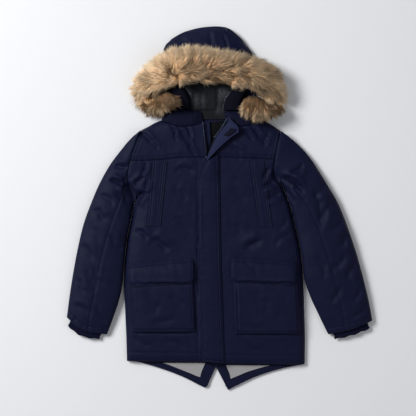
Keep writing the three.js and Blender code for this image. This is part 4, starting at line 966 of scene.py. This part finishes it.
def hair_template():
    """A tapered hair from z = 0 to 1, with three sides and a ring between root and tip."""
    bm = bmesh.new()
    bmesh.ops.create_cone(bm, cap_ends=True, segments=3, radius1=1.0, radius2=0.0, depth=1.0)
    bmesh.ops.translate(bm, vec=(0, 0, 0.5), verts=bm.verts)
    bmesh.ops.remove_doubles(bm, verts=bm.verts, dist=1e-5)
    everything = bm.verts[:] + bm.edges[:] + bm.faces[:]
    bmesh.ops.bisect_plane(bm, geom=everything, plane_co=(0, 0, 0.5), plane_no=(0, 0, 1))
    return bm


def sample_grid(grid, u, v):
    """Values between the places of a grid, rows up and columns across."""
    rows, columns = grid.shape
    i = np.minimum((v * (rows - 1)).astype(int), rows - 2)
    j = np.minimum((u * (columns - 1)).astype(int), columns - 2)
    fv, fu = v * (rows - 1) - i, u * (columns - 1) - j
    return mix(mix(grid[i, j], grid[i, j + 1], fu), mix(grid[i + 1, j], grid[i + 1, j + 1], fu), fv)


def lie_at(table, x, y):
    """Direction of the pile and how sure it is, length and lightness, blended from a table."""
    rows = np.array(table)
    away2 = (x[:, None] - rows[:, 0]) ** 2 + (y[:, None] - rows[:, 1]) ** 2
    weight = 1 / (away2 + LAY_REACH) ** LAY_POWER
    weight /= weight.sum(1, keepdims=True)
    angle = np.radians(rows[:, 2])
    ahead, up = weight @ np.cos(angle), weight @ np.sin(angle)
    return np.arctan2(up, ahead), np.hypot(ahead, up), weight @ rows[:, 3], weight @ rows[:, 4]


def inside_ring(ring, x, y):
    """Whether each place is inside a closed outline."""
    after = np.roll(ring, -1, axis=0)
    within = np.zeros(x.shape, bool)
    for (ax, ay), (bx, by) in zip(ring, after):
        if ay != by:
            within ^= ((ay > y) != (by > y)) & (x < ax + (y - ay) * (bx - ax) / (by - ay))
    return within


def kept_inside(ring, x, y, heading, length, overhang):
    """Shorter hair where its tip would stand out of the outline by more than the overhang."""
    length = length.copy()
    for _ in range(SHORTENINGS):
        reach = 0.93 * length - overhang
        outside = ~inside_ring(ring, x + reach * np.cos(heading), y + reach * np.sin(heading))
        length[outside] *= SHORTER
    return length


def core_heights(tree, x, y):
    """Height of the dense pile below each place, in millimetres; far below where there is none."""
    z = np.full(x.shape, -1e3)
    for i, (px, py) in enumerate(zip(x * MM, y * MM)):
        spot = tree.ray_cast((px, py, SKY), DOWN)[0]
        if spot is not None:
            z[i] = spot.z / MM
    return z


def locks(table, x, y):
    """The lock that each hair belongs to, how far aside its middle is, and the way that the locks run.

    The fur is cut into patches, and each patch into long narrow cells that follow the pile.
    """
    edge = 0.35 * noise(x / 9, y / 9, 53)
    patch_x, patch_y = np.floor(x / PATCH_SIZE + edge), np.floor(y / PATCH_SIZE + edge)
    middle_x, middle_y = (patch_x + 0.5) * PATCH_SIZE, (patch_y + 0.5) * PATCH_SIZE
    grain = lie_at(table, middle_x, middle_y)[0]
    along = (x - middle_x) * np.cos(grain) + (y - middle_y) * np.sin(grain)
    across = (y - middle_y) * np.cos(grain) - (x - middle_x) * np.sin(grain)
    row = np.floor(across / LOCK_WIDTH)
    cell = np.floor(along / LOCK_LENGTH + lattice(patch_x, row, 54)) + 40 * patch_x, row + 40 * patch_y
    return cell, (row + 0.2 + 0.6 * lattice(*cell, 31)) * LOCK_WIDTH - across, grain


# Strands of hair as columns of numbers: roots, how they are held, and the locks that gather them.
Strands = namedtuple("Strands", "x y root heading curl rise length gather aside grain lift")


def scatter(random, wall, count):
    """Roots spread evenly over a strip, but for its rims."""
    grid_x, grid_y = wall.place(np.linspace(0, 1, ROOT_COLUMNS), np.linspace(0, 1, ROOT_ROWS))
    du_x, du_y = np.diff(grid_x, axis=1)[:-1], np.diff(grid_y, axis=1)[:-1]
    dv_x, dv_y = np.diff(grid_x, axis=0)[:, :-1], np.diff(grid_y, axis=0)[:, :-1]
    areas = np.abs(du_x * dv_y - du_y * dv_x)
    rim = np.abs(np.linspace(-1, 1, areas.shape[0]))[:, None]
    chance = (areas * (rim < BARE_RIM)).ravel()
    cell = random.choice(chance.size, count, p=chance / chance.sum())
    v = (cell // areas.shape[1] + random.random(count)) / areas.shape[0]
    u = (cell % areas.shape[1] + random.random(count)) / areas.shape[1]
    return sample_grid(grid_x, u, v), sample_grid(grid_y, u, v)


def bend(strands, radius, points, core):
    """Vertices of all the strands, each bent from root to tip and lifted clear of the dense pile."""
    part = points[:, 2]
    turn = np.arctan2(points[:, 1], points[:, 0])
    thickness = np.where(part > 0.99, 0.0, 1 - 0.25 * part)
    places = np.empty((len(strands.x), len(points), 3))
    for s in np.unique(part):
        heading = strands.heading + strands.curl * s
        reach = strands.length * s * np.cos(strands.rise)
        drawn = strands.gather * s**1.3 * strands.aside
        x = strands.x + reach * np.cos(heading) - drawn * np.sin(strands.grain)
        y = strands.y + reach * np.sin(heading) + drawn * np.cos(strands.grain)
        arc = strands.length * np.sin(strands.rise) * (s - 0.5 * s**2)
        z = np.maximum(strands.root + (arc + strands.lift * s), core_heights(core, x, y) + 0.5 + 1.5 * s)
        for k in np.flatnonzero(part == s):
            wide = radius * thickness[k]
            places[:, k, 0] = x - wide * np.sin(heading) * np.cos(turn[k])
            places[:, k, 1] = y + wide * np.cos(heading) * np.cos(turn[k])
            places[:, k, 2] = np.maximum(z + 0.35 * wide * np.sin(turn[k]), 0.3)
    return places


def make_hair(name, wall, core, strip, hair, seed, length_scale):
    """Hair on a strip of fur, gathered in locks that lie over each other."""
    random = np.random.default_rng(seed)
    count = int(hair.count * strip.share)
    x, y = scatter(random, wall, count)
    drift_x, drift_y = 11 * noise(x / 22, y / 22, 51), 11 * noise(x / 22, y / 22, 52)
    heading, sure, length, light = lie_at(strip.lie, x + drift_x, y + drift_y)
    cell, aside, grain = locks(strip.lie, x, y)
    sway = np.radians(38 + 190 * clamp(0.95 - sure))
    heading = heading + sway * (lattice(*cell, 33) - 0.5) + np.radians(12) * noise(x / 26, y / 26, 39)
    heading = heading + np.radians(5) * random.standard_normal(count)
    length = length * hair.length * length_scale * random.uniform(0.55, 1.2, count)
    length = length * (0.8 + 0.4 * lattice(*cell, 34))
    root = np.maximum(core_heights(core, x, y), 0) + random.uniform(-1.2, 1.2, count)
    gather = random.uniform(0.35, 0.9, count)
    rise = np.radians(hair.rise + random.normal(0, 3, count) + 13 * lattice(*cell, 36))
    curl = np.radians(random.normal(0, 8, count) + 40 * (lattice(*cell, 37) - 0.5))
    usual, most = OVERHANG
    overhang = np.minimum(random.exponential(usual, count), most) + 6 * lattice(*cell, 42) + hair.reach
    downward = (np.sin(heading) < -0.75) & (np.abs(x - MIDDLE_X) < BRIDGE_HALF)
    overhang += strip.bridge * smooth((BRIDGE_TOP - y) / 22) * downward
    length = kept_inside(wall.ring(), x, y, heading + curl, length, overhang)
    lift = LOCK_LIFT * lattice(*cell, 41)
    strands = Strands(x, y, root, heading, curl, rise, length, gather, aside, grain, lift)
    template = hair_template()
    points = template_points(template)
    piece = repeated(name, template, bend(strands, hair.radius, points, core), "acrylic fur")
    # The strip's darkening is painted shade on the two ends under the arch
    tint = 0.9 * light + hair.light - strip.dim + 0.2 * noise(x / 15, y / 15, 40)
    tint = tint + (0.6 + 1.5 * light) * (lattice(*cell, 38) - 0.42)
    tint = clamp(tint + 0.3 * (1 - sure) + 0.24 * random.standard_normal(count))
    write_hair_uv(piece, tint, points[:, 2])
    return piece


def write_hair_uv(piece, tint, part):
    """How light each hair is, and how far along the hair each vertex is, as the fur's shader reads it."""
    corners = np.empty(len(piece.data.loops), np.int32)
    piece.data.loops.foreach_get("vertex_index", corners)
    uv = np.stack([tint[corners // len(part)], part[corners % len(part)]], axis=1)
    piece.data.uv_layers.new(name="hair").data.foreach_set("uv", uv.ravel().astype(np.float32))


def make_pile(strip, layers, length_scale):
    """A strip of fur: the dense pile below, and its hair."""
    name = strip.name
    wall = Wall(strip.node)
    u = np.linspace(0.015, 0.985, CORE_COLUMNS)
    v = np.linspace(CORE_DRAW_IN, 1 - CORE_DRAW_IN, CORE_ROWS)
    x, y = wall.place(u, v)
    low, top = wall.heights(u, v, 6)
    edge = bulge(np.minimum(v - v[0], v[-1] - v)[:, None] / 0.3) * bulge(np.minimum(u, 1 - u)[None] / 0.08)
    height = low + 0.6 + CORE_HEIGHT * (top - low) * edge + 1.5 * noise(x / 12, y / 12, 25) * edge
    pile = shell(x, y, low + 0.3, np.maximum(height, low + 0.9))
    add_piece(f"{name}_pile", pile, "acrylic fur base", [strip.node])
    core = surface(f"{name}_pile", *(f"{other}_pile" for other in strip.over))
    for i, hair in enumerate(layers):
        make_hair(f"{name}_hair_{i + 1}", wall, core, strip, hair, strip.seed + i, length_scale)


# ---- finishes ---------------------------------------------------------------------------------

WHITE = (1, 1, 1)
MATT = 0.1
PATCH, CLUMP = 38, 30  # how far across the dye's uneven patches and the fleece's broad tufts are
CLOTH_GRAIN = 0.6  # depth of the weave and of the fleece's tufts, drawn deep so that they catch light
FLEECE_GRAIN = 1.5
# Painted highlights on the hood's fleece, lighter spots where light catches it: place and reach in mm, and
# how much.
FLEECE_HIGHLIGHTS = (
    (20, 301, 26, 1.0), (8, 322, 20, 0.6), (-90, 318, 20, 0.55), (-56, 298, 26, 0.35), (2, 272, 20, 0.3),
)
# How much lighter the fleece is painted at the highlights
FLEECE_HIGHLIGHT_GAIN = 12.0


def linear(code):
    """A colour written as 0xRRGGBB, as the shader wants it."""
    channels = [((code >> shift) & 255) / 255 for shift in (16, 8, 0)]
    return [c / 12.92 if c <= 0.04045 else ((c + 0.055) / 1.055) ** 2.4 for c in channels]


def add(tree, kind, inputs=(), **settings):
    """One shader node. An input is a plain value or another node's output."""
    made = tree.nodes.new("ShaderNode" + kind)
    for key, value in settings.items():
        setattr(made, key, value)
    for key, value in dict(inputs).items():
        if isinstance(value, bpy.types.NodeSocket):
            tree.links.new(value, made.inputs[key])
        else:
            made.inputs[key].default_value = value
    return made


def new_material(name):
    material = bpy.data.materials.new(name)
    material.use_nodes = True
    return material.node_tree, material.node_tree.nodes["Principled BSDF"]


def shade(colour, factor):
    """A lighter or darker colour, with full opacity."""
    return [min(1.0, c * factor) for c in colour] + [1.0]


def per(size_mm):
    """Scale of a pattern whose parts are this many millimetres across."""
    return 1 / (size_mm * MM)


def dress(tree, shader, colour, roughness, height=None, bump=0.0, depth=0.0, sheen=0.0, specular=MATT):
    """Gives a shader its colour, its relief and what is the same all over."""
    tree.links.new(colour, shader.inputs["Base Color"])
    if height:
        relief_node = add(tree, "Bump", {"Strength": bump, "Distance": depth * MM, "Height": height})
        tree.links.new(relief_node.outputs["Normal"], shader.inputs["Normal"])
    shader.inputs["Roughness"].default_value = roughness
    shader.inputs["Sheen Weight"].default_value = sheen
    shader.inputs["Sheen Roughness"].default_value = 0.5
    shader.inputs["Specular IOR Level"].default_value = specular


def cloth_material(name, colour, thread, roughness, sheen, contrast=0.16, bump=0.25, twill=0.5):
    """Dyed cloth: a woven grain of threads this many millimetres apart, in uneven patches."""
    tree, shader = new_material(name)
    place = add(tree, "TexCoord").outputs["Object"]
    uneven = add(tree, "TexNoise", {"Vector": place, "Scale": per(PATCH), "Detail": 3.0}).outputs["Fac"]
    tones = {0: uneven, 6: shade(colour, 1 - contrast), 7: shade(colour, 1 + contrast)}
    patches = add(tree, "Mix", tones, data_type="RGBA").outputs[2]
    ribs = {"Vector": place, "Scale": per(2 * thread), "Distortion": 0.6, "Detail": 1.0}
    grain = add(tree, "TexWave", ribs, bands_direction="DIAGONAL").outputs["Fac"]
    fuzz = {"Vector": place, "Scale": per(1.6 * thread), "Detail": 3.0}
    fibres = add(tree, "TexNoise", fuzz).outputs["Fac"]
    weave = add(tree, "Mix", {0: twill, 2: fibres, 3: grain}).outputs[0]
    lit = {0: weave, 6: shade(WHITE, 0.86), 7: shade(WHITE, 1.0)}
    worn = add(tree, "Mix", lit, data_type="RGBA").outputs[2]
    both = {0: 1.0, 6: patches, 7: worn}
    dyed = add(tree, "Mix", both, data_type="RGBA", blend_type="MULTIPLY").outputs[2]
    dress(tree, shader, dyed, roughness, weave, bump, CLOTH_GRAIN, sheen)


def fleece_material(name, colour, pile, contrast, highlight_spots=()):
    """Fleece with a nap: soft tufts this many millimetres across, with painted highlights as lighter
    streaks at the given spots.
    """
    tree, shader = new_material(name)
    place = add(tree, "TexCoord").outputs["Object"]
    tufts = add(tree, "TexNoise", {"Vector": place, "Scale": per(pile), "Detail": 5.0}).outputs["Fac"]
    broad = add(tree, "TexNoise", {"Vector": place, "Scale": per(CLUMP), "Detail": 3.0}).outputs["Fac"]
    both = add(tree, "Mix", {0: 0.5, 2: tufts, 3: broad}).outputs[0]
    tones = {0: both, 6: shade(colour, 1 - contrast), 7: shade(colour, 1 + contrast)}
    tint = add(tree, "Mix", tones, data_type="RGBA").outputs[2]
    flat = add(tree, "VectorMath", {0: place, 1: (1.0, 1.0, 0.0)}, operation="MULTIPLY").outputs[0]
    # Each spot is a painted highlight: the colour lightened where light catches the fleece
    for x, y, reach, share in highlight_spots:
        spot = {0: flat, 1: (x * MM, y * MM, 0.0)}
        away = add(tree, "VectorMath", spot, operation="DISTANCE").outputs["Value"]
        near = add(tree, "MapRange", {"Value": away, 1: reach * MM, 2: 0.0, 3: 0.0, 4: share}).outputs[0]
        streaks = add(tree, "MapRange", {"Value": tufts, 1: 0.35, 2: 0.65, 3: 0.15, 4: 1.0}).outputs[0]
        amount = add(tree, "Math", {0: near, 1: streaks}, operation="MULTIPLY").outputs[0]
        highlighted = {0: amount, 6: tint, 7: shade(colour, FLEECE_HIGHLIGHT_GAIN)}
        tint = add(tree, "Mix", highlighted, data_type="RGBA").outputs[2]
    dress(tree, shader, tint, 0.95, tufts, 0.7, FLEECE_GRAIN, 0.04)


def fur_material(name, dark, middle, light):
    """Hair, dark at the root and light at the tip; its UV holds lightness and place along the hair."""
    tree, shader = new_material(name)
    uv = add(tree, "SeparateXYZ", {"Vector": add(tree, "TexCoord").outputs["UV"]})
    ramps = []
    deep, dull = [0.25 * c for c in dark], [0.22 * c for c in middle]
    for stops in ((deep, dark, dull), (dark, middle, light)):
        ramp = add(tree, "ValToRGB", {"Fac": uv.outputs["Y"]})
        ramp.color_ramp.elements.new(0.5)
        for element, place, colour in zip(ramp.color_ramp.elements, (0.0, 0.35, 0.9), stops):
            element.position = place
            element.color = [*colour, 1.0]
        ramps.append(ramp.outputs["Color"])
    hair = add(tree, "Mix", {0: uv.outputs["X"], 6: ramps[0], 7: ramps[1]}, data_type="RGBA").outputs[2]
    dress(tree, shader, hair, 0.4, sheen=0.1, specular=0.5)
    shader.inputs["Sheen Tint"].default_value = (*linear(0xFFE7C4), 1.0)


def metal_material(name, colour, roughness):
    """Metal, duller and lighter in small patches."""
    tree, shader = new_material(name)
    place = add(tree, "TexCoord").outputs["Object"]
    wear = add(tree, "TexNoise", {"Vector": place, "Scale": per(2.0), "Detail": 3.0}).outputs["Fac"]
    rough = add(tree, "MapRange", {"Value": wear, 3: roughness - 0.08, 4: roughness + 0.08}).outputs[0]
    tones = {0: wear, 6: shade(colour, 0.8), 7: shade(colour, 1.15)}
    metal = add(tree, "Mix", tones, data_type="RGBA").outputs[2]
    tree.links.new(metal, shader.inputs["Base Color"])
    tree.links.new(rough, shader.inputs["Roughness"])
    shader.inputs["Metallic"].default_value = 1.0


# ---- what a user may change -------------------------------------------------------------------


COLOUR = {"subtype": "COLOR", "size": 3, "min": 0, "max": 1}


class ParkaSettings(bpy.types.PropertyGroup):
    """Colours and softness of the parka."""

    shell_colour: FloatVectorProperty(
        name="Shell", description="Outer cloth", default=linear(0x0D112C), **COLOUR,
    )
    inside_colour: FloatVectorProperty(
        name="Inside", description="Cloth on the inside of the flaps", default=linear(0x1C213E), **COLOUR,
    )
    fleece_colour: FloatVectorProperty(
        name="Fleece", description="Hood lining", default=linear(0x191A1D), **COLOUR,
    )
    tail_colour: FloatVectorProperty(
        name="Tail lining", description="Lining that shows below the hem", default=linear(0x9A9899),
        **COLOUR,
    )
    fur_root_colour: FloatVectorProperty(
        name="Fur roots", description="Hair near the skin", default=linear(0x654628), **COLOUR,
    )
    fur_colour: FloatVectorProperty(
        name="Fur", description="Middle of the hair", default=linear(0xFBC58A), **COLOUR,
    )
    fur_tip_colour: FloatVectorProperty(
        name="Fur tips", description="Ends of the hair", default=linear(0xFFE9C6), **COLOUR,
    )
    crease_depth: FloatProperty(
        name="Creases", description="Depth of the creases, 1 as laid out", default=1.0, min=0.0, max=1.5,
        subtype="FACTOR",
    )
    hair_length: FloatProperty(
        name="Hair", description="Length of the hair, 1 as made", default=1.0, min=0.5, max=1.2,
        subtype="FACTOR",
    )
    hair_layers: IntProperty(
        name="Guard hair", description="Layers of guard hair over the underfur", default=2, min=1, max=3,
    )


def settings():
    return bpy.context.scene.parka


class MaterialsOperator(bpy.types.Operator):
    """Make the parka's finishes"""

    bl_idname = "parka.materials"
    bl_label = "Finishes"

    def execute(self, context):
        s = settings()
        # Peached cotton and nylon: matt navy. Its twill is drawn coarser than the real half millimetre
        cloth_material("navy shell", s.shell_colour, 1.5, 0.6, 0.015)
        # The plain inner cloth of the storm flap: a lighter, duller navy
        cloth_material("navy inner cloth", s.inside_colour, 1.2, 0.7, 0.02, contrast=0.1)
        # The band beside the face opening: painted shade, the shell's colour darkened nearly to black for
        # the deep shade that it lies in
        cloth_material("navy facing cloth", [0.24 * c for c in s.shell_colour], 1.2, 0.8, 0.0, contrast=0.1)
        # The collar: the shell's cloth, darkened as painted shade for the shade under the hood
        cloth_material("navy collar cloth", [0.7 * c for c in s.shell_colour], 1.5, 0.75, 0.0)
        # Knitted ribs: darker and with no shine
        rib_colour = [0.75 * c for c in s.shell_colour]
        cloth_material("ribbed knit", rib_colour, 1.4, 0.9, 0.03, bump=0.5, twill=0.2)
        # Polyester thread: a shade lighter than the shell, so that the rows read
        cloth_material("sewing thread", [1.5 * c for c in s.shell_colour], 0.6, 0.5, 0.02)
        # Charcoal fleece in the hood: tufts, and painted highlights as light streaks at the given spots
        fleece_material("fleece lining", s.fleece_colour, 3.5, 0.75, FLEECE_HIGHLIGHTS)
        # The lining in the neck: painted black, as the deep shade inside the neck opening
        cloth_material("dark neck lining", linear(0x07080B), 1.2, 0.8, 0.0)
        # Taffeta in the tail: smooth grey with a soft sheen
        cloth_material("tail lining", s.tail_colour, 1.2, 0.55, 0.1, contrast=0.06)
        # Woven tape of the zip: black, with a marked grain
        cloth_material("zip tape", linear(0x12141F), 0.9, 0.75, 0.02, bump=0.5)
        # Hook tape: rough and dark
        fleece_material("hook tape", linear(0x0D0F1C), 1.3, 0.6)
        # Acrylic hair: brown at the root, tan to cream at the tip, with a little gloss
        fur_material("acrylic fur", s.fur_root_colour, s.fur_colour, s.fur_tip_colour)
        # The dense pile under it: dark brown, painted darker than the roots as the shade deep between the
        # locks, where alone it is seen
        fleece_material("acrylic fur base", [0.3 * c for c in s.fur_root_colour], 3.0, 0.4)
        # Moulded teeth with a blue-grey gleam, and the worn enamelled slider
        metal_material("zip teeth", linear(0x55617C), 0.45)
        metal_material("zip slider", linear(0x5A5F6B), 0.38)
        return {"FINISHED"}


class BacksOperator(bpy.types.Operator):
    """Make the two halves of the back and its tail"""

    bl_idname = "parka.backs"
    bl_label = "Back"

    def execute(self, context):
        for side in SIDE:
            padded_panel(f"back_{side}", {}, fine=4.0, coarse=12.0, rounds=2, crease=0.0, flat_floor=True)
        return {"FINISHED"}


class FrontsOperator(bpy.types.Operator):
    """Make the fronts and yokes"""

    bl_idname = "parka.fronts"
    bl_label = "Fronts and yokes"

    def execute(self, context):
        depth = settings().crease_depth
        hem = Seam(2.5, 7.0, 0.9, (25.0,))
        armhole = Seam(3.5, 9.0, 0.9, (2.5, 9.0))
        yoke = Seam(3.0, 7.0, 0.8, (3.0, 9.5))
        for side, outer in (("right", "left"), ("left", "right")):
            front = {"top": Seam(3.5, 8.0, 0.8, ()), "bottom": hem, outer: PLAIN_SEAM}
            padded_panel(f"front_{side}", front, crease=depth, coarse=3.0)
            padded_panel(f"yoke_{side}", {"bottom": yoke, outer: armhole, "top": PLAIN_SEAM}, crease=depth,
                         coarse=3.0)
        return {"FINISHED"}


class SleevesOperator(bpy.types.Operator):
    """Make the sleeves and their knitted cuffs"""

    bl_idname = "parka.sleeves"
    bl_label = "Sleeves and cuffs"

    def execute(self, context):
        for side in SIDE:
            make_sleeve(side, settings().crease_depth)
            make_cuff(side)
        return {"FINISHED"}


class StormFlapOperator(bpy.types.Operator):
    """Make the storm flap, its turned-out top and the strip behind the zip"""

    bl_idname = "parka.storm_flap"
    bl_label = "Storm flap"

    def execute(self, context):
        depth = settings().crease_depth
        flap = {"right": Seam(1.6, 5.0, 0.5, (3.5, 9.5)), "left": Seam(2.0, 4.0, 0.7, (6.0,)),
                "bottom": Seam(0.8, 3.0, 0.3, (6.0,))}
        padded_panel("storm_flap", flap, fine=1.2, coarse=3.5, rounds=5, crease=depth, lies=1.0)
        thin_sheet("storm_flap_turned_top", "navy inner cloth",
                   rows=[("top", 5.5)])
        thin_sheet("hook_tape_patch", "hook tape",
                   thickness=TAPE)
        thin_sheet("wind_flap", "navy shell",
                   thickness=TAPE)
        return {"FINISHED"}


class ZipOperator(bpy.types.Operator):
    """Make the zip: closed below the flap, open at the neck"""

    bl_idname = "parka.zip"
    bl_label = "Zip"

    def execute(self, context):
        thin_sheet("zip_closed", "zip tape", step=4.0,
                   thickness=TAPE)
        for side, length, area in (("right", 0.083, 0.00033), ("left", 0.108, 0.0007)):
            thin_sheet(f"zip_open_{side}", "zip tape",
                       crease=0.0, thickness=TAPE)
            make_teeth(side)
        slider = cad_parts["zip_slider"]
        slider.data.materials.clear()
        slider.data.materials.append(bpy.data.materials["zip slider"])
        return {"FINISHED"}


class PocketsOperator(bpy.types.Operator):
    """Make the chest welts and the cargo pockets with their flaps"""

    bl_idname = "parka.pockets"
    bl_label = "Pockets"

    def execute(self, context):
        depth = settings().crease_depth
        bag = {edge: Seam(0.0, 8.0, 0.6, (8.0,)) for edge in ("left", "right", "bottom")}
        bag["top"] = Seam(0.0, 8.0, 0.0, ())
        flap = {edge: Seam(0.8, 4.0, 0.5, (3.0,)) for edge in ("left", "right", "bottom")}
        flap["top"] = Seam(1.6, 5.0, 0.6, (3.0, 9.0))
        welt = {"left": Seam(0, 4, 0.3, (3, 9)), "right": Seam(0, 4, 0.3, (3, 9, 15))}
        for side in SIDE:
            padded_panel(f"cargo_bag_{side}", bag, rounds=6, crease=depth, lies=1.0)
            padded_panel(f"cargo_flap_{side}", flap, rounds=6, crease=depth, lies=1.0)
            padded_panel(f"chest_welt_{side}", welt, rounds=6, coarse=3.0, crease=depth, lies=1.0)
        return {"FINISHED"}


class TailOperator(bpy.types.Operator):
    """Make the lining and facings of the tail"""

    bl_idname = "parka.tail"
    bl_label = "Tail lining"

    def execute(self, context):
        for side in SIDE:
            thin_sheet(f"tail_facing_{side}", "navy shell",
                       crease=0.0, rows=[("bottom", 3.5), ("top", 3.0)])
            thin_sheet(f"tail_lining_{side}", "tail lining",
                       crease=0.0)
        return {"FINISHED"}


class HoodOperator(bpy.types.Operator):
    """Make the hood, its lining and the two halves of the collar"""

    bl_idname = "parka.hood"
    bl_label = "Hood and collar"

    def execute(self, context):
        depth = settings().crease_depth
        panel = {edge: Seam(0.5, 4.0, 0.3, ()) for edge in ("left", "right")}
        band = {edge: Seam(1.0, 6.0, 0.5, ()) for edge in ("left", "right")}
        collar = {"bottom": Seam(1.0, 4.0, 0.6, (3.0,)), "top": Seam(1.0, 5.0, 0.4, ())}
        padded_panel("hood_back", {}, fine=4.0, coarse=8.0, rounds=4, crease=0.0, flat_floor=True)
        for node in ("hood_side_right", "hood_centre", "hood_side_left"):
            padded_panel(node, panel, rounds=14, crease=depth)
        thin_sheet("hood_lining_fleece", "fleece lining",
                   ripple=0.8, rounds=2)
        for side in SIDE:
            # The hood's edges: cloth painted nearly black as shade
            padded_panel(f"hood_edge_{side}", band, "navy facing cloth", coarse=3.0, rounds=8, crease=0.0)
            # The collars: the shell's cloth darkened as painted shade under the hood
            padded_panel(f"collar_{side}", collar, "navy collar cloth", coarse=3.0, rounds=8, crease=depth)
        # The lining in the neck is painted nearly black, as shade deep in the neck opening
        thin_sheet("neck_lining", "dark neck lining",
                   crease=0.0, ripple=0.5)
        return {"FINISHED"}


class FurOperator(bpy.types.Operator):
    """Make the fur round the face opening, and its two ends"""

    bl_idname = "parka.fur"
    bl_label = "Fur trim"

    def execute(self, context):
        s = settings()
        layers = [UNDERFUR] + [GUARD_HAIR] * s.hair_layers
        for strip in STRIPS:
            make_pile(strip, layers[:strip.layers], s.hair_length)
        return {"FINISHED"}


class StitchesOperator(bpy.types.Operator):
    """Sew the rows of stitching"""

    bl_idname = "parka.stitches"
    bl_label = "Stitching"

    def execute(self, context):
        make_stitches("stitching", rows_of_stitches)
        return {"FINISHED"}


BOARD = "matt white board"
BOARD_TONES = (0xE3E4E6, 0xE1E2E4)
BOARD_PATCH = 900
FLOOR_Z = -0.0006
FLOOR_HALF = 6.0
# Name, place in metres, width and power in watts.
LIGHTS = (("key light", (-2.7, 1.5, 3.0), 1.6, 186), ("fill light", (1.9, -1.0, 2.9), 2.6, 17))
SKY_COLOUR, SKY_STRENGTH = (0.93, 0.95, 1.0, 1.0), 0.26
CAMERA = (-0.032, 0.001, 4.32)
LENS, SENSOR = 135, 36


def stand(name, data, place):
    """An object of the stage at a place."""
    thing = bpy.data.objects.new(name, data)
    thing.location = place
    bpy.context.scene.collection.objects.link(thing)
    return thing


def make_floor():
    """A wide board that catches the shadows."""
    bm = bmesh.new()
    bmesh.ops.create_grid(bm, x_segments=1, y_segments=1, size=FLOOR_HALF)
    mesh = bpy.data.meshes.new("floor")
    bm.to_mesh(mesh)
    bm.free()
    tree, shader = new_material(BOARD)
    place = add(tree, "TexCoord").outputs["Object"]
    patches = {"Vector": place, "Scale": per(BOARD_PATCH), "Detail": 3.0}
    uneven = add(tree, "TexNoise", patches).outputs["Fac"]
    light, dark = (shade(linear(tone), 1.0) for tone in BOARD_TONES)
    tone = add(tree, "Mix", {0: uneven, 6: light, 7: dark}, data_type="RGBA").outputs[2]
    dress(tree, shader, tone, 0.9, specular=0.5)
    mesh.materials.append(bpy.data.materials[BOARD])
    stand("floor", mesh, (0, 0, FLOOR_Z))


def make_lights():
    """A soft key light beyond the hood on the right sleeve's side, a weak fill, and a pale sky."""
    for name, place, size, power in LIGHTS:
        lamp = bpy.data.lights.new(name, "AREA")
        lamp.energy = power
        lamp.size = size
        stand(name, lamp, place).rotation_euler = (-Vector(place)).to_track_quat("-Z", "Y").to_euler()
    world = bpy.data.worlds.new("studio")
    world.use_nodes = True
    sky = world.node_tree.nodes["Background"]
    sky.inputs["Color"].default_value = SKY_COLOUR
    sky.inputs["Strength"].default_value = SKY_STRENGTH
    bpy.context.scene.world = world
    bpy.context.scene.view_settings.view_transform = "Standard"


def make_camera():
    """A long lens straight above."""
    data = bpy.data.cameras.new("camera above")
    data.lens = LENS
    data.sensor_width = SENSOR
    bpy.context.scene.camera = stand("camera above", data, CAMERA)


class StageOperator(bpy.types.Operator):
    """Make the floor, the lights and the camera above"""

    bl_idname = "parka.stage"
    bl_label = "Floor, light and camera"

    def execute(self, context):
        make_floor()
        make_lights()
        make_camera()
        return {"FINISHED"}


OPERATORS = (
    MaterialsOperator, BacksOperator, FrontsOperator, SleevesOperator, StormFlapOperator, ZipOperator,
    PocketsOperator, TailOperator, HoodOperator, FurOperator, StitchesOperator, StageOperator,
)


class ParkaPanel(bpy.types.Panel):
    bl_idname = "VIEW3D_PT_parka"
    bl_label = "Parka"
    bl_space_type = "VIEW_3D"
    bl_region_type = "UI"
    bl_category = "Parka"

    def draw(self, context):
        for name in ParkaSettings.__annotations__:
            self.layout.prop(context.scene.parka, name)
        for operator in OPERATORS:
            self.layout.operator(operator.bl_idname)


CLASSES = (ParkaSettings, *OPERATORS, ParkaPanel)


def register():
    for cls in CLASSES:
        bpy.utils.register_class(cls)
    bpy.types.Scene.parka = PointerProperty(type=ParkaSettings)


def unregister():
    del bpy.types.Scene.parka
    for cls in reversed(CLASSES):
        bpy.utils.unregister_class(cls)


def main():
    register()
    for operator in OPERATORS:
        group, name = operator.bl_idname.split(".")
        getattr(getattr(bpy.ops, group), name)()
    bpy.context.view_layer.update()


if __name__ == "__main__":
    main()
